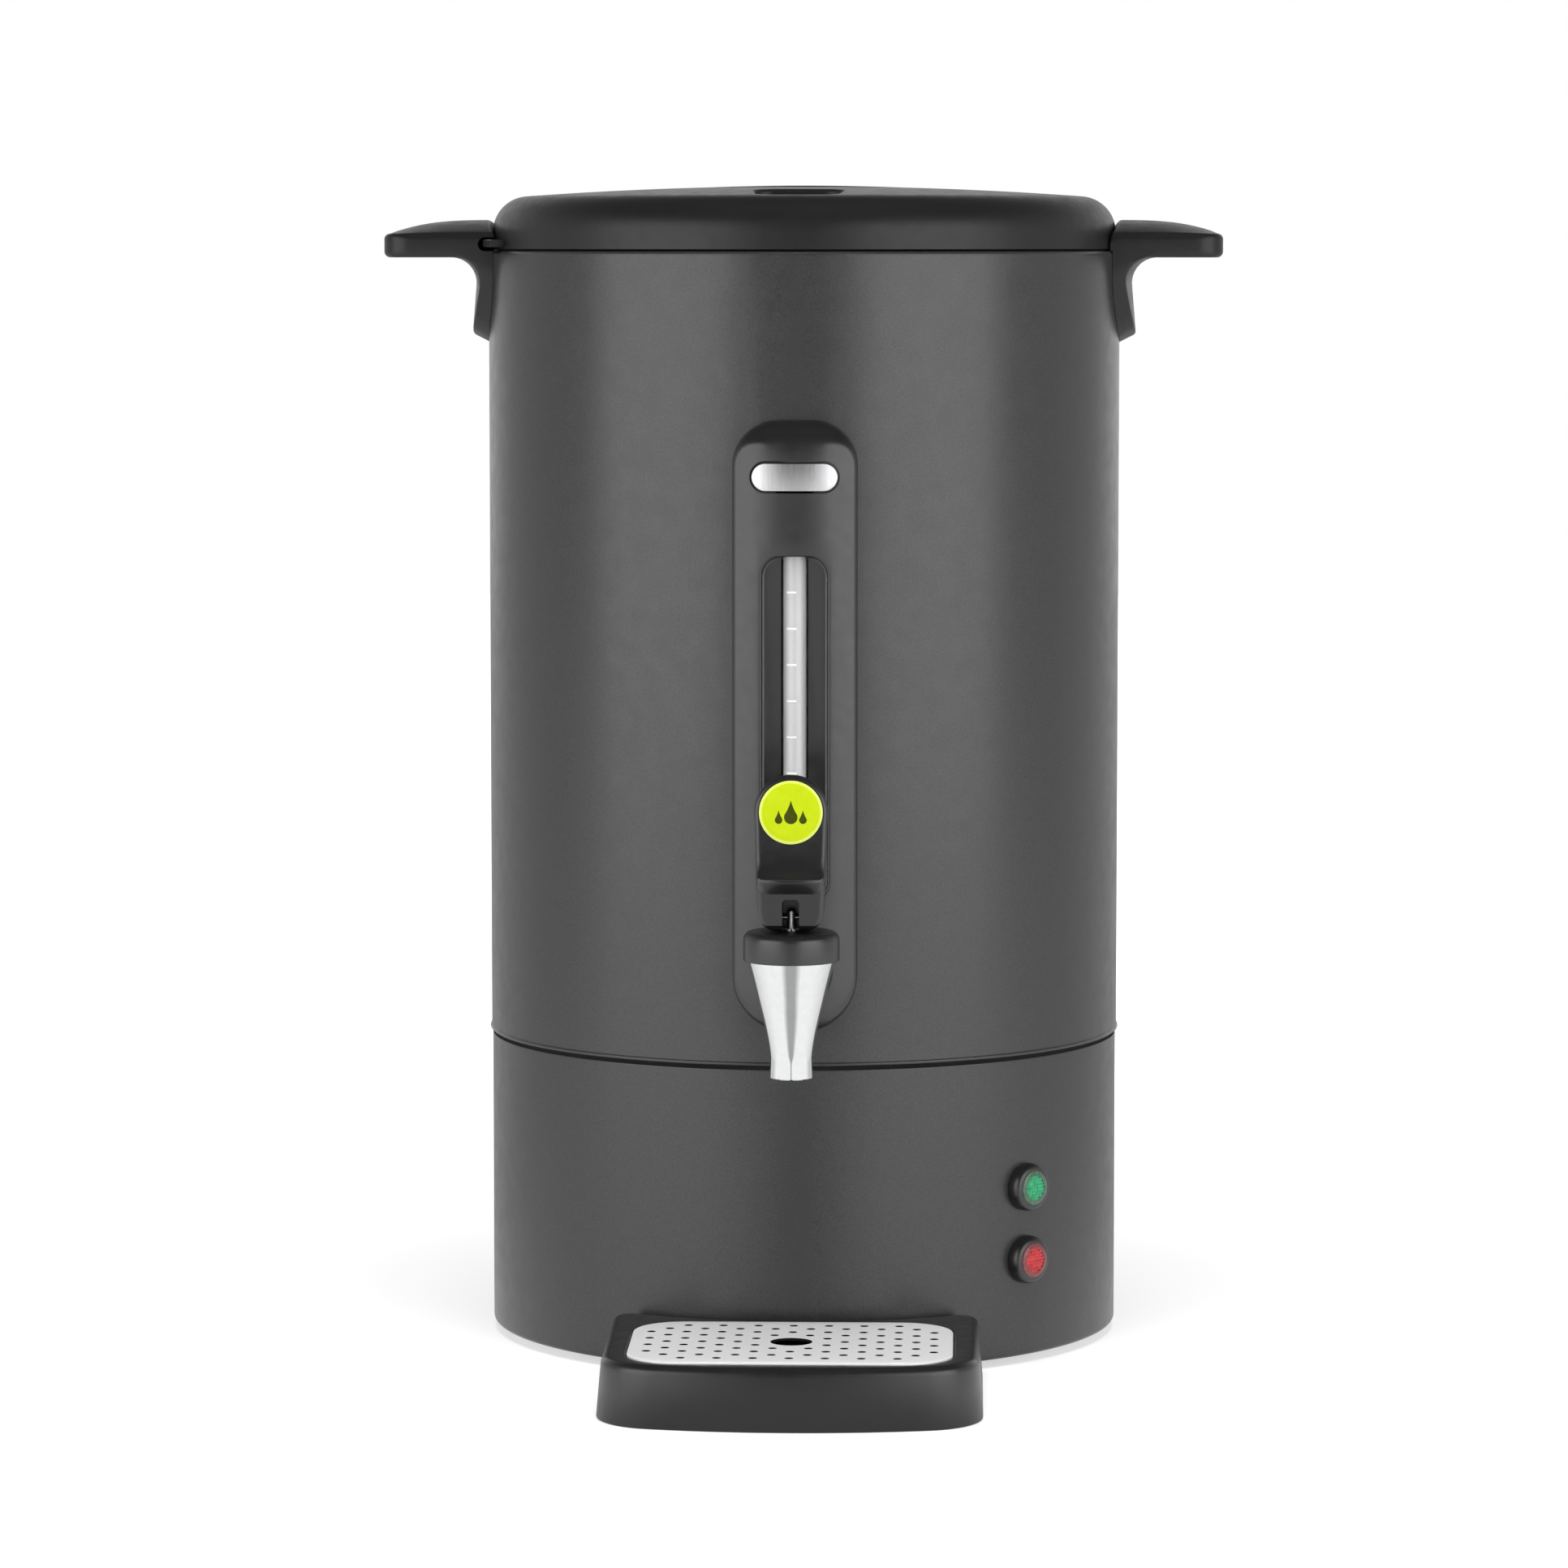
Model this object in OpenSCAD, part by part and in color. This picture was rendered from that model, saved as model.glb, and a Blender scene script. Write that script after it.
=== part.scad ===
// Counter-top percolator urn: double-walled body, twist-lock lid, lever tap, level gauge and drip tray.
// Millimetres. The origin is on the body's axis at the counter, the tap faces -Y and +Z is up.

/* [Body] */
// Outside diameter of the jacket
body_d = 300; // [250:1:360]
// Height of the jacket
jacket_h = 370.8; // [320:0.1:450]
// Sheet thickness of the jacket
jacket_wall = 1.2; // [0.8:0.1:2]
// Width of the jacket's turned-in top lip
jacket_lip = 6; // [5:0.5:8]
// Outside bend radius of the top lip
lip_bend = 1.8; // [1.4:0.1:2.4]
// Radius of the bead rolled into the jacket's lower edge
hem_r = 0.9; // [0.7:0.1:1.4]
// Height of the base housing
base_h = 139.7; // [116:0.1:168]
// Wall thickness of the base housing
base_wall = 2.5; // [2:0.1:4]
// How far the base stands back from the jacket
base_step = 0.5; // [0:0.1:1]
// Rounding of the base's lower edge
base_round = 3; // [1:0.5:5]
// Height of the base's lower edge above the counter
base_clear = 3.5; // [2:0.1:5]
// Open seam between base and jacket
seam_gap = 1.6; // [1:0.1:4]
// Height of the spigot that the jacket slips over
spigot_h = 9; // [6:0.5:14]

/* [Fits] */
// Clearance between pieces that slip together
slip = 0.3; // [0.3:0.05:0.5]
// Clearance of a piece clamped against its seat
seat = 0.1; // [0.05:0.01:0.2]
// Radial running clearance of pins and stems
run = 0.05; // [0.03:0.01:0.1]

/* [Bottom plate and feet] */
// Thickness of the bottom plate
floor_t = 1.5; // [1:0.1:3]
// Diameter of a rubber foot
foot_d = 24; // [16:1:32]
// Height of a rubber foot
foot_h = 5.5; // [4.5:0.1:7]
// Diameter of a foot's push-in stem
foot_stem_d = 8; // [6:0.5:10]
// Distance of the feet's centres from the jacket's radius
foot_inset = 32; // [26:1:45]
// Diameter of the bosses that take the bottom screws
boss_d = 10; // [8:0.5:14]
// Height of the bosses
boss_h = 33; // [20:1:50]
// Direction of the first boss
boss_angle = 20; // [15:1:30]
// Thread diameter of the bottom screws
floor_screw_d = 4; // [3:0.5:5]
// Number of vent slots in the bottom plate
vent_count = 12; // [6:1:18]
// Distance of the vent slots from the axis
vent_r = 38; // [30:1:60]
// Length of a vent slot
vent_l = 25; // [15:1:30]

/* [Tank and heater] */
// Air gap between jacket and tank
tank_gap = 8.8; // [7:0.1:14]
// Sheet thickness of the tank
tank_wall = 1; // [0.6:0.1:1.5]
// Height of the tank's floor above the base
tank_rise = 16.8; // [14:0.1:24]
// Bend radius between the tank's floor and its wall
tank_bend = 12; // [6:0.5:16]
// Thickness of the tank's flange
flange_t = 1; // [0.8:0.1:2]
// How far the tank's flange stands back from the jacket
flange_set = 4.4; // [3:0.1:5]
// Diameter of the pump well in the tank's floor
well_d = 80; // [70:1:110]
// Depth of the pump well
well_depth = 6; // [4:0.5:10]
// Diameter of the heat spreader
spreader_d = 116; // [100:1:140]
// Thickness of the heat spreader
spreader_t = 4; // [3:0.5:6]
// Diameter of the heating element's ring
element_d = 92; // [80:1:98]
// Diameter of the element's tube
element_tube_d = 8; // [6:0.5:10]
// Diameter of the thermostat and of the cut-out
sensor_d = 18; // [14:0.5:22]
// Height of the thermostat
thermostat_h = 10; // [6:0.5:16]
// Height of the cut-out
cutout_h = 7; // [5:0.5:12]
// Distance of the thermostat and cut-out from the axis
sensor_offset = 24; // [16:0.5:28]
// Diameter of the clamp rod
rod_d = 8; // [6:0.5:10]
// Width across the flats of the clamp nut
rod_nut_af = 13; // [11:0.5:17]
// Height of the clamp nut
rod_nut_h = 4; // [2.5:0.1:4]

/* [Percolator] */
// Outside diameter of the pump tube
tube_d = 14; // [10:0.5:20]
// Wall of the pump tube
tube_wall = 0.8; // [0.6:0.1:1.5]
// Diameter of the bell at the tube's foot
bell_d = 70; // [60:1:76]
// Height of the bell
bell_h = 14; // [10:1:25]
// Depth of the tube's top below the tank's rim
tube_drop = 40; // [34:1:60]
// How far the tube stands out of the coffee basket
tube_show = 7.6; // [6:0.2:14]
// Diameter of the coffee basket
basket_d = 170; // [120:1:190]
// Height of the coffee basket
basket_h = 80; // [50:1:110]
// Sheet thickness of the basket
basket_wall = 0.8; // [0.6:0.1:1.5]
// Diameter of the basket's drain holes
drain_d = 3.2; // [2:0.1:4]

/* [Lid] */
// Height of the lid from its lower edge to its crest
lid_h = 30.2; // [27:0.1:40]
// Wall thickness of the lid
lid_wall = 2.6; // [2:0.1:3.5]
// How far the lid stands back from the jacket
lid_step = 2; // [1.5:0.1:3]
// Radius of the lid's shoulder
shoulder_r = 17; // [14:0.5:20]
// Radius of the lid's dome
dome_r = 1820; // [1400:10:3000]
// Diameter of the finger recess
grip_d = 92; // [80:1:110]
// Width of the bar across the finger recess
grip_bar_w = 24; // [18:0.5:30]
// Thickness of the bar
grip_bar_t = 6.5; // [5:0.5:7]
// Depth of the finger recess below the crest
grip_depth = 17; // [14:0.5:20]
// Fillet round the recess's floor
cup_fillet = 4; // [2:0.5:8]
// Width of the ring that joins the cup to the lid
cup_ring = 6; // [4:0.5:10]
// Wall of the cup under the recess
cup_wall = 1.6; // [1:0.1:2.5]
// Width of the steam pit at its inner end
pit_w_in = 43; // [30:1:60]
// Width of the steam pit at its outer end
pit_w_out = 35; // [25:1:50]
// Length of the steam pit
pit_l = 46; // [30:1:55]
// Depth of the steam pit
pit_depth = 6; // [4:0.5:8]
// Corner radius of the steam pit
pit_corner = 9; // [4:0.5:12]
// Distance from the shoulder's centre line to the pit's outer end
pit_inset = 0; // [0:0.5:10]
// Diameter of the steam vent
vent_d = 5; // [3:0.5:8]
// Width of the lid seal
seal_w = 3.6; // [2.5:0.1:4.5]
// Height of the lid seal
seal_h = 2.6; // [2:0.1:4]
// Distance of the seal's middle from the tank's inside
seal_inset = 3; // [2.5:0.1:4]
// Reach of a bayonet lug beyond the jacket
lug_reach = 5; // [3.5:0.5:6]
// Height of a bayonet lug
lug_h = 3.5; // [2.5:0.1:4]
// Angle that a bayonet lug spans
lug_span = 6; // [4:0.5:8]
// Room round a lug in its bayonet slot
lug_room = 2; // [1.5:0.1:2.5]

/* [Handles] */
// Width of a handle
handle_w = 72; // [56:1:84]
// Reach of a handle beyond the jacket
handle_reach = 48; // [40:0.5:60]
// Height of the grip's underside below the jacket's top
grip_drop = 3; // [1:0.1:8]
// Height of the grip's ridge above the jacket's top
ridge_rise = 14.7; // [12:0.1:20]
// Length of the bracket below the jacket's top
bracket_drop = 43.2; // [38:0.1:60]
// Thickness of the bracket under the grip
bracket_t = 5.7; // [5:0.1:10]
// Thickness of the bracket at its foot
bracket_foot_t = 8; // [6:0.1:12]
// Fillet between grip and bracket
grip_fillet = 12; // [6:0.5:16]
// Radius of the ridge line, seen from the front
ridge_r = 210; // [160:5:300]
// Distance of the ridge's highest point inside the jacket's radius
ridge_set = 5; // [0:0.5:10]
// Radius of the crown across the grip
crown_r = 98; // [70:1:150]
// Corner radius of the grip, seen from above
grip_corner = 12; // [6:0.5:18]
// Height of a bayonet slot
slot_h = 6.6; // [6.2:0.1:8]
// Thread diameter of the handle screws
handle_screw_d = 4; // [3:0.5:5]
// Angle between a handle screw and the middle of its handle
handle_screw_angle = 7; // [4:0.5:8]
// Height of the handle screws above the bracket's foot
handle_screw_rise = 24; // [18:0.5:30]

/* [Level gauge] */
// Width of the gauge cover
cover_w = 56.6; // [50:0.2:64]
// Height of the gauge cover
cover_h = 278; // [240:1:290]
// How far the gauge cover stands out from the jacket
cover_proud = 16; // [15:0.5:22]
// Radius of the cover's front, seen from above
cover_bow = 65; // [45:1:120]
// Wall of the gauge cover
cover_wall = 2.2; // [1.6:0.1:3]
// Rounding of the cover's ends
cover_round = 9; // [4:0.5:10]
// Corner radius at the cover's top
cover_top_r = 20; // [10:1:26]
// Corner radius at the cover's bottom
cover_foot_r = 26; // [10:1:28]
// Height of the cover's lower end below the tap's shank
cover_foot = 29.5; // [24:0.5:34]
// Width of the window
window_w = 30; // [24:0.5:36]
// Height of the window
window_h = 156.5; // [120:0.5:165]
// Distance from the cover's top to the window
window_drop = 61; // [54:0.5:70]
// Corner radius of the window
window_r = 9; // [3:0.5:11]
// How far the level glass stands out of the window's floor
glass_show = 2.4; // [1:0.1:4]
// Width of the blank badge
badge_w = 38.8; // [30:0.2:44]
// Height of the blank badge
badge_h = 12.6; // [8:0.2:16]
// Distance from the cover's top to the badge's middle
badge_drop = 25.1; // [22:0.1:28]
// Thickness of the badge
badge_t = 1.2; // [0.8:0.1:1.6]
// Outside diameter of the level glass
glass_d = 11; // [8:0.5:11]
// Wall of the level glass
glass_wall = 1.5; // [1:0.1:2]
// Height of the level glass
glass_h = 189; // [150:1:195]

/* [Tap] */
// Distance of the spout's axis from the jacket
tap_reach = 61; // [52:0.5:75]
// Height of the shank's axis above the tank's floor
shank_rise = 31; // [28:0.5:34]
// Diameter of the shank
shank_d = 20; // [18:0.5:21]
// Diameter of the shank's neck in the tank's wall
neck_d = 16; // [14:0.5:17]
// Bore of the shank
shank_bore_d = 10; // [8:0.5:11]
// Diameter at the spout's top
spout_top_d = 36.4; // [34:0.2:44]
// Diameter of the spout's throat
throat_d = 18.4; // [17:0.2:22]
// Diameter at the spout's lip
spout_lip_d = 18.9; // [18:0.1:24]
// Height of the spout's top above the shank's axis
spout_rise = 10.8; // [10.7:0.1:14]
// Height of the throat below the shank's axis
throat_drop = 34; // [28:0.5:38]
// Height of the lip below the shank's axis
spout_drop = 42.8; // [38:0.1:50]
// Bore of the spout
outlet_d = 13; // [10:0.5:13]
// Diameter of the valve chamber
chamber_d = 20.4; // [19:0.1:20.5]
// Height of the valve seat below the shank's axis
valve_drop = 17; // [14:0.5:18]
// Diameter of the bonnet
bonnet_d = 42.6; // [38:0.2:48]
// Height of the bonnet
bonnet_h = 9.8; // [8:0.1:12]
// Rounding of the bonnet's upper edge
bonnet_edge = 3.5; // [1:0.5:4]
// Rounding of the bonnet's lower edge
bonnet_foot = 0.8; // [0.4:0.1:1.5]
// Depth of the bonnet's plug in the chamber
plug_h = 6; // [4:0.5:8]
// Diameter of the stem
stem_d = 4; // [3.4:0.1:5]
// Diameter of the cross pin
pin_d = 2; // [1.5:0.1:2.4]
// Height of the cross pin above the bonnet
pin_rise = 8.7; // [8:0.1:10]
// Diameter of the valve cup
valve_d = 17.2; // [15:0.1:18]
// Height of the valve cup
valve_h = 6.7; // [5.5:0.1:7]
// Wire diameter of the return spring
wire_d = 1.2; // [0.8:0.1:1.4]
// Middle diameter of the return spring
spring_d = 12; // [9:0.5:14]
// Number of turns of the return spring
spring_turns = 5; // [3:1:6]
// Diameter of the washer in front of the gauge cover
washer_d = 35; // [30:0.5:40]
// Thickness of the washer
washer_t = 4; // [2:0.5:6]
// Thickness of the shank's gaskets
gasket_t = 2.2; // [1.5:0.1:3]
// Width of the shank's gaskets
gasket_w = 4; // [3:0.5:5]
// Width across the flats of the shank's nut
shank_nut_af = 27; // [24:0.5:32]
// Height of the shank's nut
shank_nut_h = 7; // [5:0.5:10]

/* [Lever] */
// Width of the lever's paddle
paddle_w = 32.7; // [28:0.1:38]
// Width of the lever's neck at the heel
neck_w = 24.8; // [22:0.2:28]
// Width of the neck at the paddle
neck_top_w = 27.6; // [25:0.2:30]
// Height of the paddle's centre above the cross pin
paddle_rise = 47.7; // [40:0.1:56]
// Height of the finger lip above the cross pin
lip_rise = 18.3; // [15:0.1:22]
// Reach of the finger lip in front of the cross pin
lip_reach = 21.5; // [18:0.5:26]
// Height of the finger lip's rounded underside
lip_h = 6.5; // [4:0.5:8]
// Reach of the neck's front in front of the cross pin
neck_reach = 13.2; // [13:0.1:15]
// Reach of the heel behind the cross pin
heel_reach = 8; // [6:0.5:12]
// Reach of the paddle's middle in front of the cross pin
face_reach = 9; // [6:0.5:13]
// Lean of the paddle's face
face_lean = 9; // [4:0.5:14]
// Thickness of the paddle at its top
paddle_t = 5.5; // [4:0.5:8]
// Width of the slot for the stem
lever_slot_w = 7.6; // [6:0.2:9]
// Height of the slot above the cross pin
lever_slot_rise = 7.1; // [5:0.1:9]
// Corner radius at the slot's top
lever_slot_r = 2; // [1:0.1:2.9]
// Stem lift for each radian that the lever turns
cam_lift = 6.55; // [5:0.05:7]
// Lever angle that the heel is shaped for
cam_angle = 40; // [36:1:45]
// Diameter of the disc on the paddle
disc_d = 28.3; // [20:0.1:30]
// Thickness of the disc
disc_t = 1.4; // [1:0.1:2]
// Depth of the disc's recess
disc_recess = 0.8; // [0.4:0.1:1]

/* [Lamps, switch and inlet] */
// Diameter of a lamp bezel
bezel_d = 22.2; // [20:0.2:26]
// How far a bezel stands out
bezel_proud = 6; // [4:0.5:9]
// Height of a bezel's straight side
bezel_side = 1.8; // [1:0.1:3]
// Depth of the bevel inside a bezel's front
bezel_bevel = 1.2; // [0.6:0.1:2]
// Diameter of a lamp's barrel
barrel_d = 19.6; // [17:0.1:20]
// Length of a lamp's barrel
barrel_l = 16; // [12:0.5:24]
// Diameter of a lens
lens_d = 13.5; // [10:0.5:15]
// Height of a lens's dome
lens_dome = 2.1; // [1:0.1:3]
// Height of the upper lamp
upper_lamp_z = 83; // [74:0.5:95]
// Height of the lower lamp
lower_lamp_z = 49; // [40:0.5:55]
// Direction of the lamps
lamp_angle = -45; // [-60:1:-30]
// Width of the switch rocker
rocker_w = 14; // [10:0.5:18]
// Height of the switch rocker
rocker_h = 18; // [14:0.5:22]
// Thickness of the rocker's rim
rocker_t = 4; // [3:0.5:5]
// Rest tilt of the rocker
rocker_tilt = 10; // [6:1:12]
// Height of the switch
switch_z = 77; // [72:0.5:90]
// Depth of the switch's box
switch_depth = 16; // [12:0.5:22]
// Height of the supply inlet
inlet_z = 34; // [28:0.5:42]
// Bore of the supply inlet
inlet_bore_d = 7.5; // [6:0.1:9]
// Diameter of the inlet's barrel
inlet_d = 16; // [13:0.5:18]

/* [Drip tray] */
// Width of the tray's border beside the plate
tray_border = 13.5; // [12:0.5:24]
// Width of the tray's border in front of the plate
tray_lip = 14.5; // [12:0.5:30]
// Height of the tray
tray_h = 28; // [20:0.5:40]
// Gap between tray and base
tray_gap = 0.8; // [0.5:0.1:3]
// Front corner radius of the tray
tray_front_r = 30; // [16:1:40]
// Rear corner radius of the tray
tray_rear_r = 10; // [8:0.5:14]
// Taper of the tray's wall from foot to rim
tray_draft = 2; // [0.5:0.1:2.5]
// Fillet round the tray's rim
tray_fillet = 4; // [2:0.5:4]
// Thickness of the tray's floor
tray_floor = 3; // [2:0.5:5]
// Width of the ledge that the plate rests on
ledge_w = 5; // [3:0.5:7]
// Width of the perforated plate
plate_w = 145; // [120:1:147]
// Length of the perforated plate
plate_l = 101; // [90:1:102]
// Corner radius of the plate
plate_r = 42; // [20:1:46]
// Sheet thickness of the plate
plate_t = 1.2; // [0.8:0.1:2]
// Height of the plate's turned-down rim
plate_rim = 4.4; // [3:0.1:6]
// How far the plate stands above the tray's rim
plate_proud = 0.8; // [0:0.1:2]
// Diameter of the finger hole
finger_d = 19; // [14:0.5:24]
// Diameter of the drain holes
hole_d = 4; // [2.5:0.1:5]
// Pitch of the drain holes across the plate
hole_pitch = 8; // [7:0.5:12]
// Clear ring round the finger hole
finger_margin = 4; // [2.5:0.5:8]

/* [Hidden] */
$fn = 96;
// Steps of a short arc in an outline
arc_steps = 8;
// Head diameter of a screw for each unit of its thread
head_ratio = 1.8;
// Overshoot of a cutting solid past the face that it cuts
over = 1;

// Radii and heights of the body
body_r = body_d / 2;
base_r = body_r - base_step;
base_top = base_clear + base_h;
spigot_r = body_r - jacket_wall - slip;
jacket_z = base_top + seam_gap;
jacket_top = jacket_z + jacket_h;
rim_z = jacket_top + flange_t;
tank_or = body_r - jacket_wall - tank_gap;
tank_r = tank_or - tank_wall;
tank_z = base_top + tank_rise;
well_z = tank_z - well_depth;
flange_r = body_r - flange_set;
floor_z = foot_h;
floor_top = floor_z + floor_t;

// Directions round the body
front = -90;
rear = 90;

// Lid
lid_z = rim_z + slip;
lid_r = body_r - lid_step;
crest_z = lid_z + lid_h;
dome_z = crest_z - dome_r;
shoulder_x = lid_r - shoulder_r;
shoulder_z = dome_z + sqrt(pow(dome_r - shoulder_r, 2) - pow(shoulder_x, 2));
shoulder_end = atan2(shoulder_z - dome_z, shoulder_x);
seal_r = tank_r + seal_inset;
cup_top = crest_z - grip_bar_t - slip - lid_wall / 4;
pit_y = -(shoulder_x - pit_inset);
pit_z = crest_z - pow(pit_y, 2) / (2 * dome_r) - pit_depth;
lug_r = body_r + lug_reach;
lug_z = lid_z + 2 * slip;
lug_start = asin((handle_w / 2 + lug_room) / lug_r);

// Handles
handle_r = body_r + handle_reach;
ridge_z = jacket_top + ridge_rise;
bracket_z = jacket_top - bracket_drop;
slot_z = lug_z - lug_room;
slot_r = lug_r + lug_room;
slot_end = lug_r * sin(lug_span / 2) + lug_room;
handle_screw_z = bracket_z + handle_screw_rise;
handle_screw_l = bracket_t - seat;

// Tap, from the shank's axis up
tap_y = -(body_r + tap_reach);
shank_z = tank_z + shank_rise;
spout_top = shank_z + spout_rise;
spout_lip = shank_z - spout_drop;
throat_z = shank_z - throat_drop;
valve_z = shank_z - valve_drop;
bonnet_top = spout_top + bonnet_h;
plug_z = spout_top - plug_h;
pin_z = bonnet_top + pin_rise;
heel_drop = pin_rise - slip;
collar_z = valve_z + slip + valve_h + seat;
collar_t = 1.2;
collar_gap = 3;
spring_z = collar_z + collar_t + seat;

// Level gauge
cover_z = shank_z - cover_foot;
cover_top = cover_z + cover_h;
cover_axis = -(body_r + cover_proud - cover_bow);
window_top = cover_top - window_drop;
badge_z = cover_top - badge_drop;
gauge_room = cover_proud - cover_wall;
gauge_y = -(body_r + gauge_room / 2);
window_y = gauge_y - glass_d / 2 + glass_show;
socket_d = gauge_room - 2 * slip;
socket_h = 7;
glass_z = shank_z + shank_d / 2 + seat;
gauge_screw_x = 14;
gauge_screw_z = window_top + window_drop / 2 - badge_h / 2;
gauge_screw_d = 3;

// Drip tray
tray_back = base_r + tray_gap;
plate_y = tap_y;
tray_w = plate_w + 2 * tray_border;
tray_front = plate_l / 2 + tray_lip - plate_y;
plate_top = tray_h + plate_proud;
ledge_z = plate_top - plate_rim - slip;

function unit(v) = v / norm(v);

// Points of an arc round c, from angle a0 to a1
function arc(c, r, a0, a1, n = arc_steps) =
    [for (i = [0 : n]) let (a = a0 + (a1 - a0) * i / n) c + r * [cos(a), sin(a)]];

// Points of a curve from p to q that leaves and arrives along the lines to m
function bend(p, m, q, n = arc_steps) =
    [for (i = [0 : n]) let (t = i / n) (1 - t) * (1 - t) * p + 2 * t * (1 - t) * m + t * t * q];

// Turn from angle a to angle b by the short way
function turn(a, b) = let (d = b - a) d > 180 ? d - 360 : d < -180 ? d + 360 : d;

// Points that round the corner v between its neighbours p and q
function corner(p, v, q, r) = let (
        a = unit(p - v),
        b = unit(q - v),
        half = acos(a * b) / 2,
        c = v + unit(a + b) * r / sin(half),
        s = v + a * r / tan(half) - c,
        e = v + b * r / tan(half) - c,
        a0 = atan2(s.y, s.x)
    ) arc(c, r, a0, a0 + turn(a0, atan2(e.y, e.x)));

// Outline through the points p, with corner i rounded by radius r[i] where that is over 0
function rounded(p, r) = [
    for (i = [0 : len(p) - 1])
        each (r[i] > 0
            ? corner(p[(i + len(p) - 1) % len(p)], p[i], p[(i + 1) % len(p)], r[i])
            : [p[i]])
];

// Box outline of width w between heights z0 and z1, with lower and upper corner radii
function panel(w, z0, z1, r0, r1) =
    rounded([[-w / 2, z0], [w / 2, z0], [w / 2, z1], [-w / 2, z1]], [r0, r0, r1, r1]);

// Local +Z points outwards from the axis in direction a, with its origin at radius r and height z
module radial(a, r, z) {
    rotate([0, 0, a]) translate([r, 0, z]) rotate([0, 90, 0]) children();
}

// Outline in X and Z, extruded along Y from y0 to y1
module along_y(points, y0, y1) {
    translate([0, y1, 0]) rotate([90, 0, 0]) linear_extrude(y1 - y0) polygon(points);
}

// Outline in Y and Z, extruded along X over width w
module along_x(points, w) {
    translate([-w / 2, 0, 0]) rotate([90, 0, 90]) linear_extrude(w) polygon(points);
}

// Solid of revolution round the body's axis
module turned(points) {
    rotate_extrude($fn = 180) polygon(points);
}

// Straight ring
module ring(r_out, r_in, h) {
    difference() {
        cylinder(r = r_out, h = h);
        translate([0, 0, -over]) cylinder(r = r_in, h = h + 2 * over);
    }
}

// Hexagonal nut with a plain bore
module hex_nut(af, bore, h) {
    difference() {
        cylinder(d = af / cos(30), h = h, $fn = 6);
        translate([0, 0, -over]) cylinder(d = bore, h = h + 2 * over);
    }
}

// Pan-head screw that points along +Z, with its head below z = 0
module pan_screw(d, l) {
    cylinder(d = d, h = l);
    translate([0, 0, -d / 2]) cylinder(d = head_ratio * d, h = d / 2);
}

// Solid skinned over rings of points that all have the same count
module skin(rings) {
    n = len(rings[0]);
    last = n * (len(rings) - 1);
    polyhedron(
        points = [for (r = rings) each r],
        faces = concat(
            [[for (i = [0 : n - 1]) i]],
            [[for (i = [n - 1 : -1 : 0]) last + i]],
            [for (k = [0 : len(rings) - 2], i = [0 : n - 1]) let (j = (i + 1) % n)
                each [[k * n + i, (k + 1) * n + i, k * n + j],
                      [k * n + j, (k + 1) * n + i, (k + 1) * n + j]]]
        )
    );
}

// Wire of diameter wire, wound round Z from z0 to z1
module coil(d, wire, z0, z1, turns) {
    steps = 16 * turns;
    sides = 6;
    skin([for (i = [0 : steps]) let (a = 360 * turns * i / steps, z = z0 + (z1 - z0) * i / steps)
        [for (k = [0 : sides - 1]) let (w = -360 * k / sides, r = d / 2 + wire / 2 * cos(w))
            [r * cos(a), r * sin(a), z + wire / 2 * sin(w)]]]);
}

// Body

module jacket() {
    hem_x = body_r - jacket_wall + hem_r + seat;
    color([0.06, 0.06, 0.065]) difference() {
        rotate_extrude($fn = 180) {
            polygon(concat(
                [[body_r - jacket_wall, jacket_z + hem_r], [body_r, jacket_z + hem_r]],
                arc([body_r - lip_bend, jacket_top - lip_bend], lip_bend, 0, 90, 4),
                [[body_r - jacket_lip, jacket_top],
                 [body_r - jacket_lip, jacket_top - jacket_wall],
                 [body_r - lip_bend, jacket_top - jacket_wall],
                 [body_r - jacket_wall, jacket_top - lip_bend]]
            ));
            translate([hem_x, jacket_z + hem_r]) circle(r = hem_r, $fn = 32);
        }
        radial(front, tank_or, shank_z) cylinder(d = shank_d + 2 * slip, h = 2 * tank_gap);
        for (side = [0, 180], a = [-1, 1])
            radial(side + a * handle_screw_angle, tank_or, handle_screw_z)
                cylinder(d = handle_screw_d + 2 * slip, h = 2 * tank_gap);
        for (x = [-1, 1])
            translate([x * gauge_screw_x, -tank_or, gauge_screw_z]) rotate([90, 0, 0])
                cylinder(d = gauge_screw_d + 2 * slip, h = 2 * tank_gap);
    }
}

// Outline of the switch's flange, box or window, grown by g
module switch_block(w, h, g, y0, y1) {
    low = switch_z - h / 2 - g;
    high = switch_z + h / 2 + g;
    along_y(panel(w + 2 * g, low, high, switch_corner, switch_corner), y0, y1);
}

switch_corner = 1.5;
window_gap = 0.5;
box_wall = 1.4;
switch_w = rocker_w + 2 * window_gap + 2 * box_wall;
switch_h = rocker_h + 4 * window_gap + 2 * box_wall;
pad_proud = 1.2;
pad_y = base_r + pad_proud;
pad_margin = 7;

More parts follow.
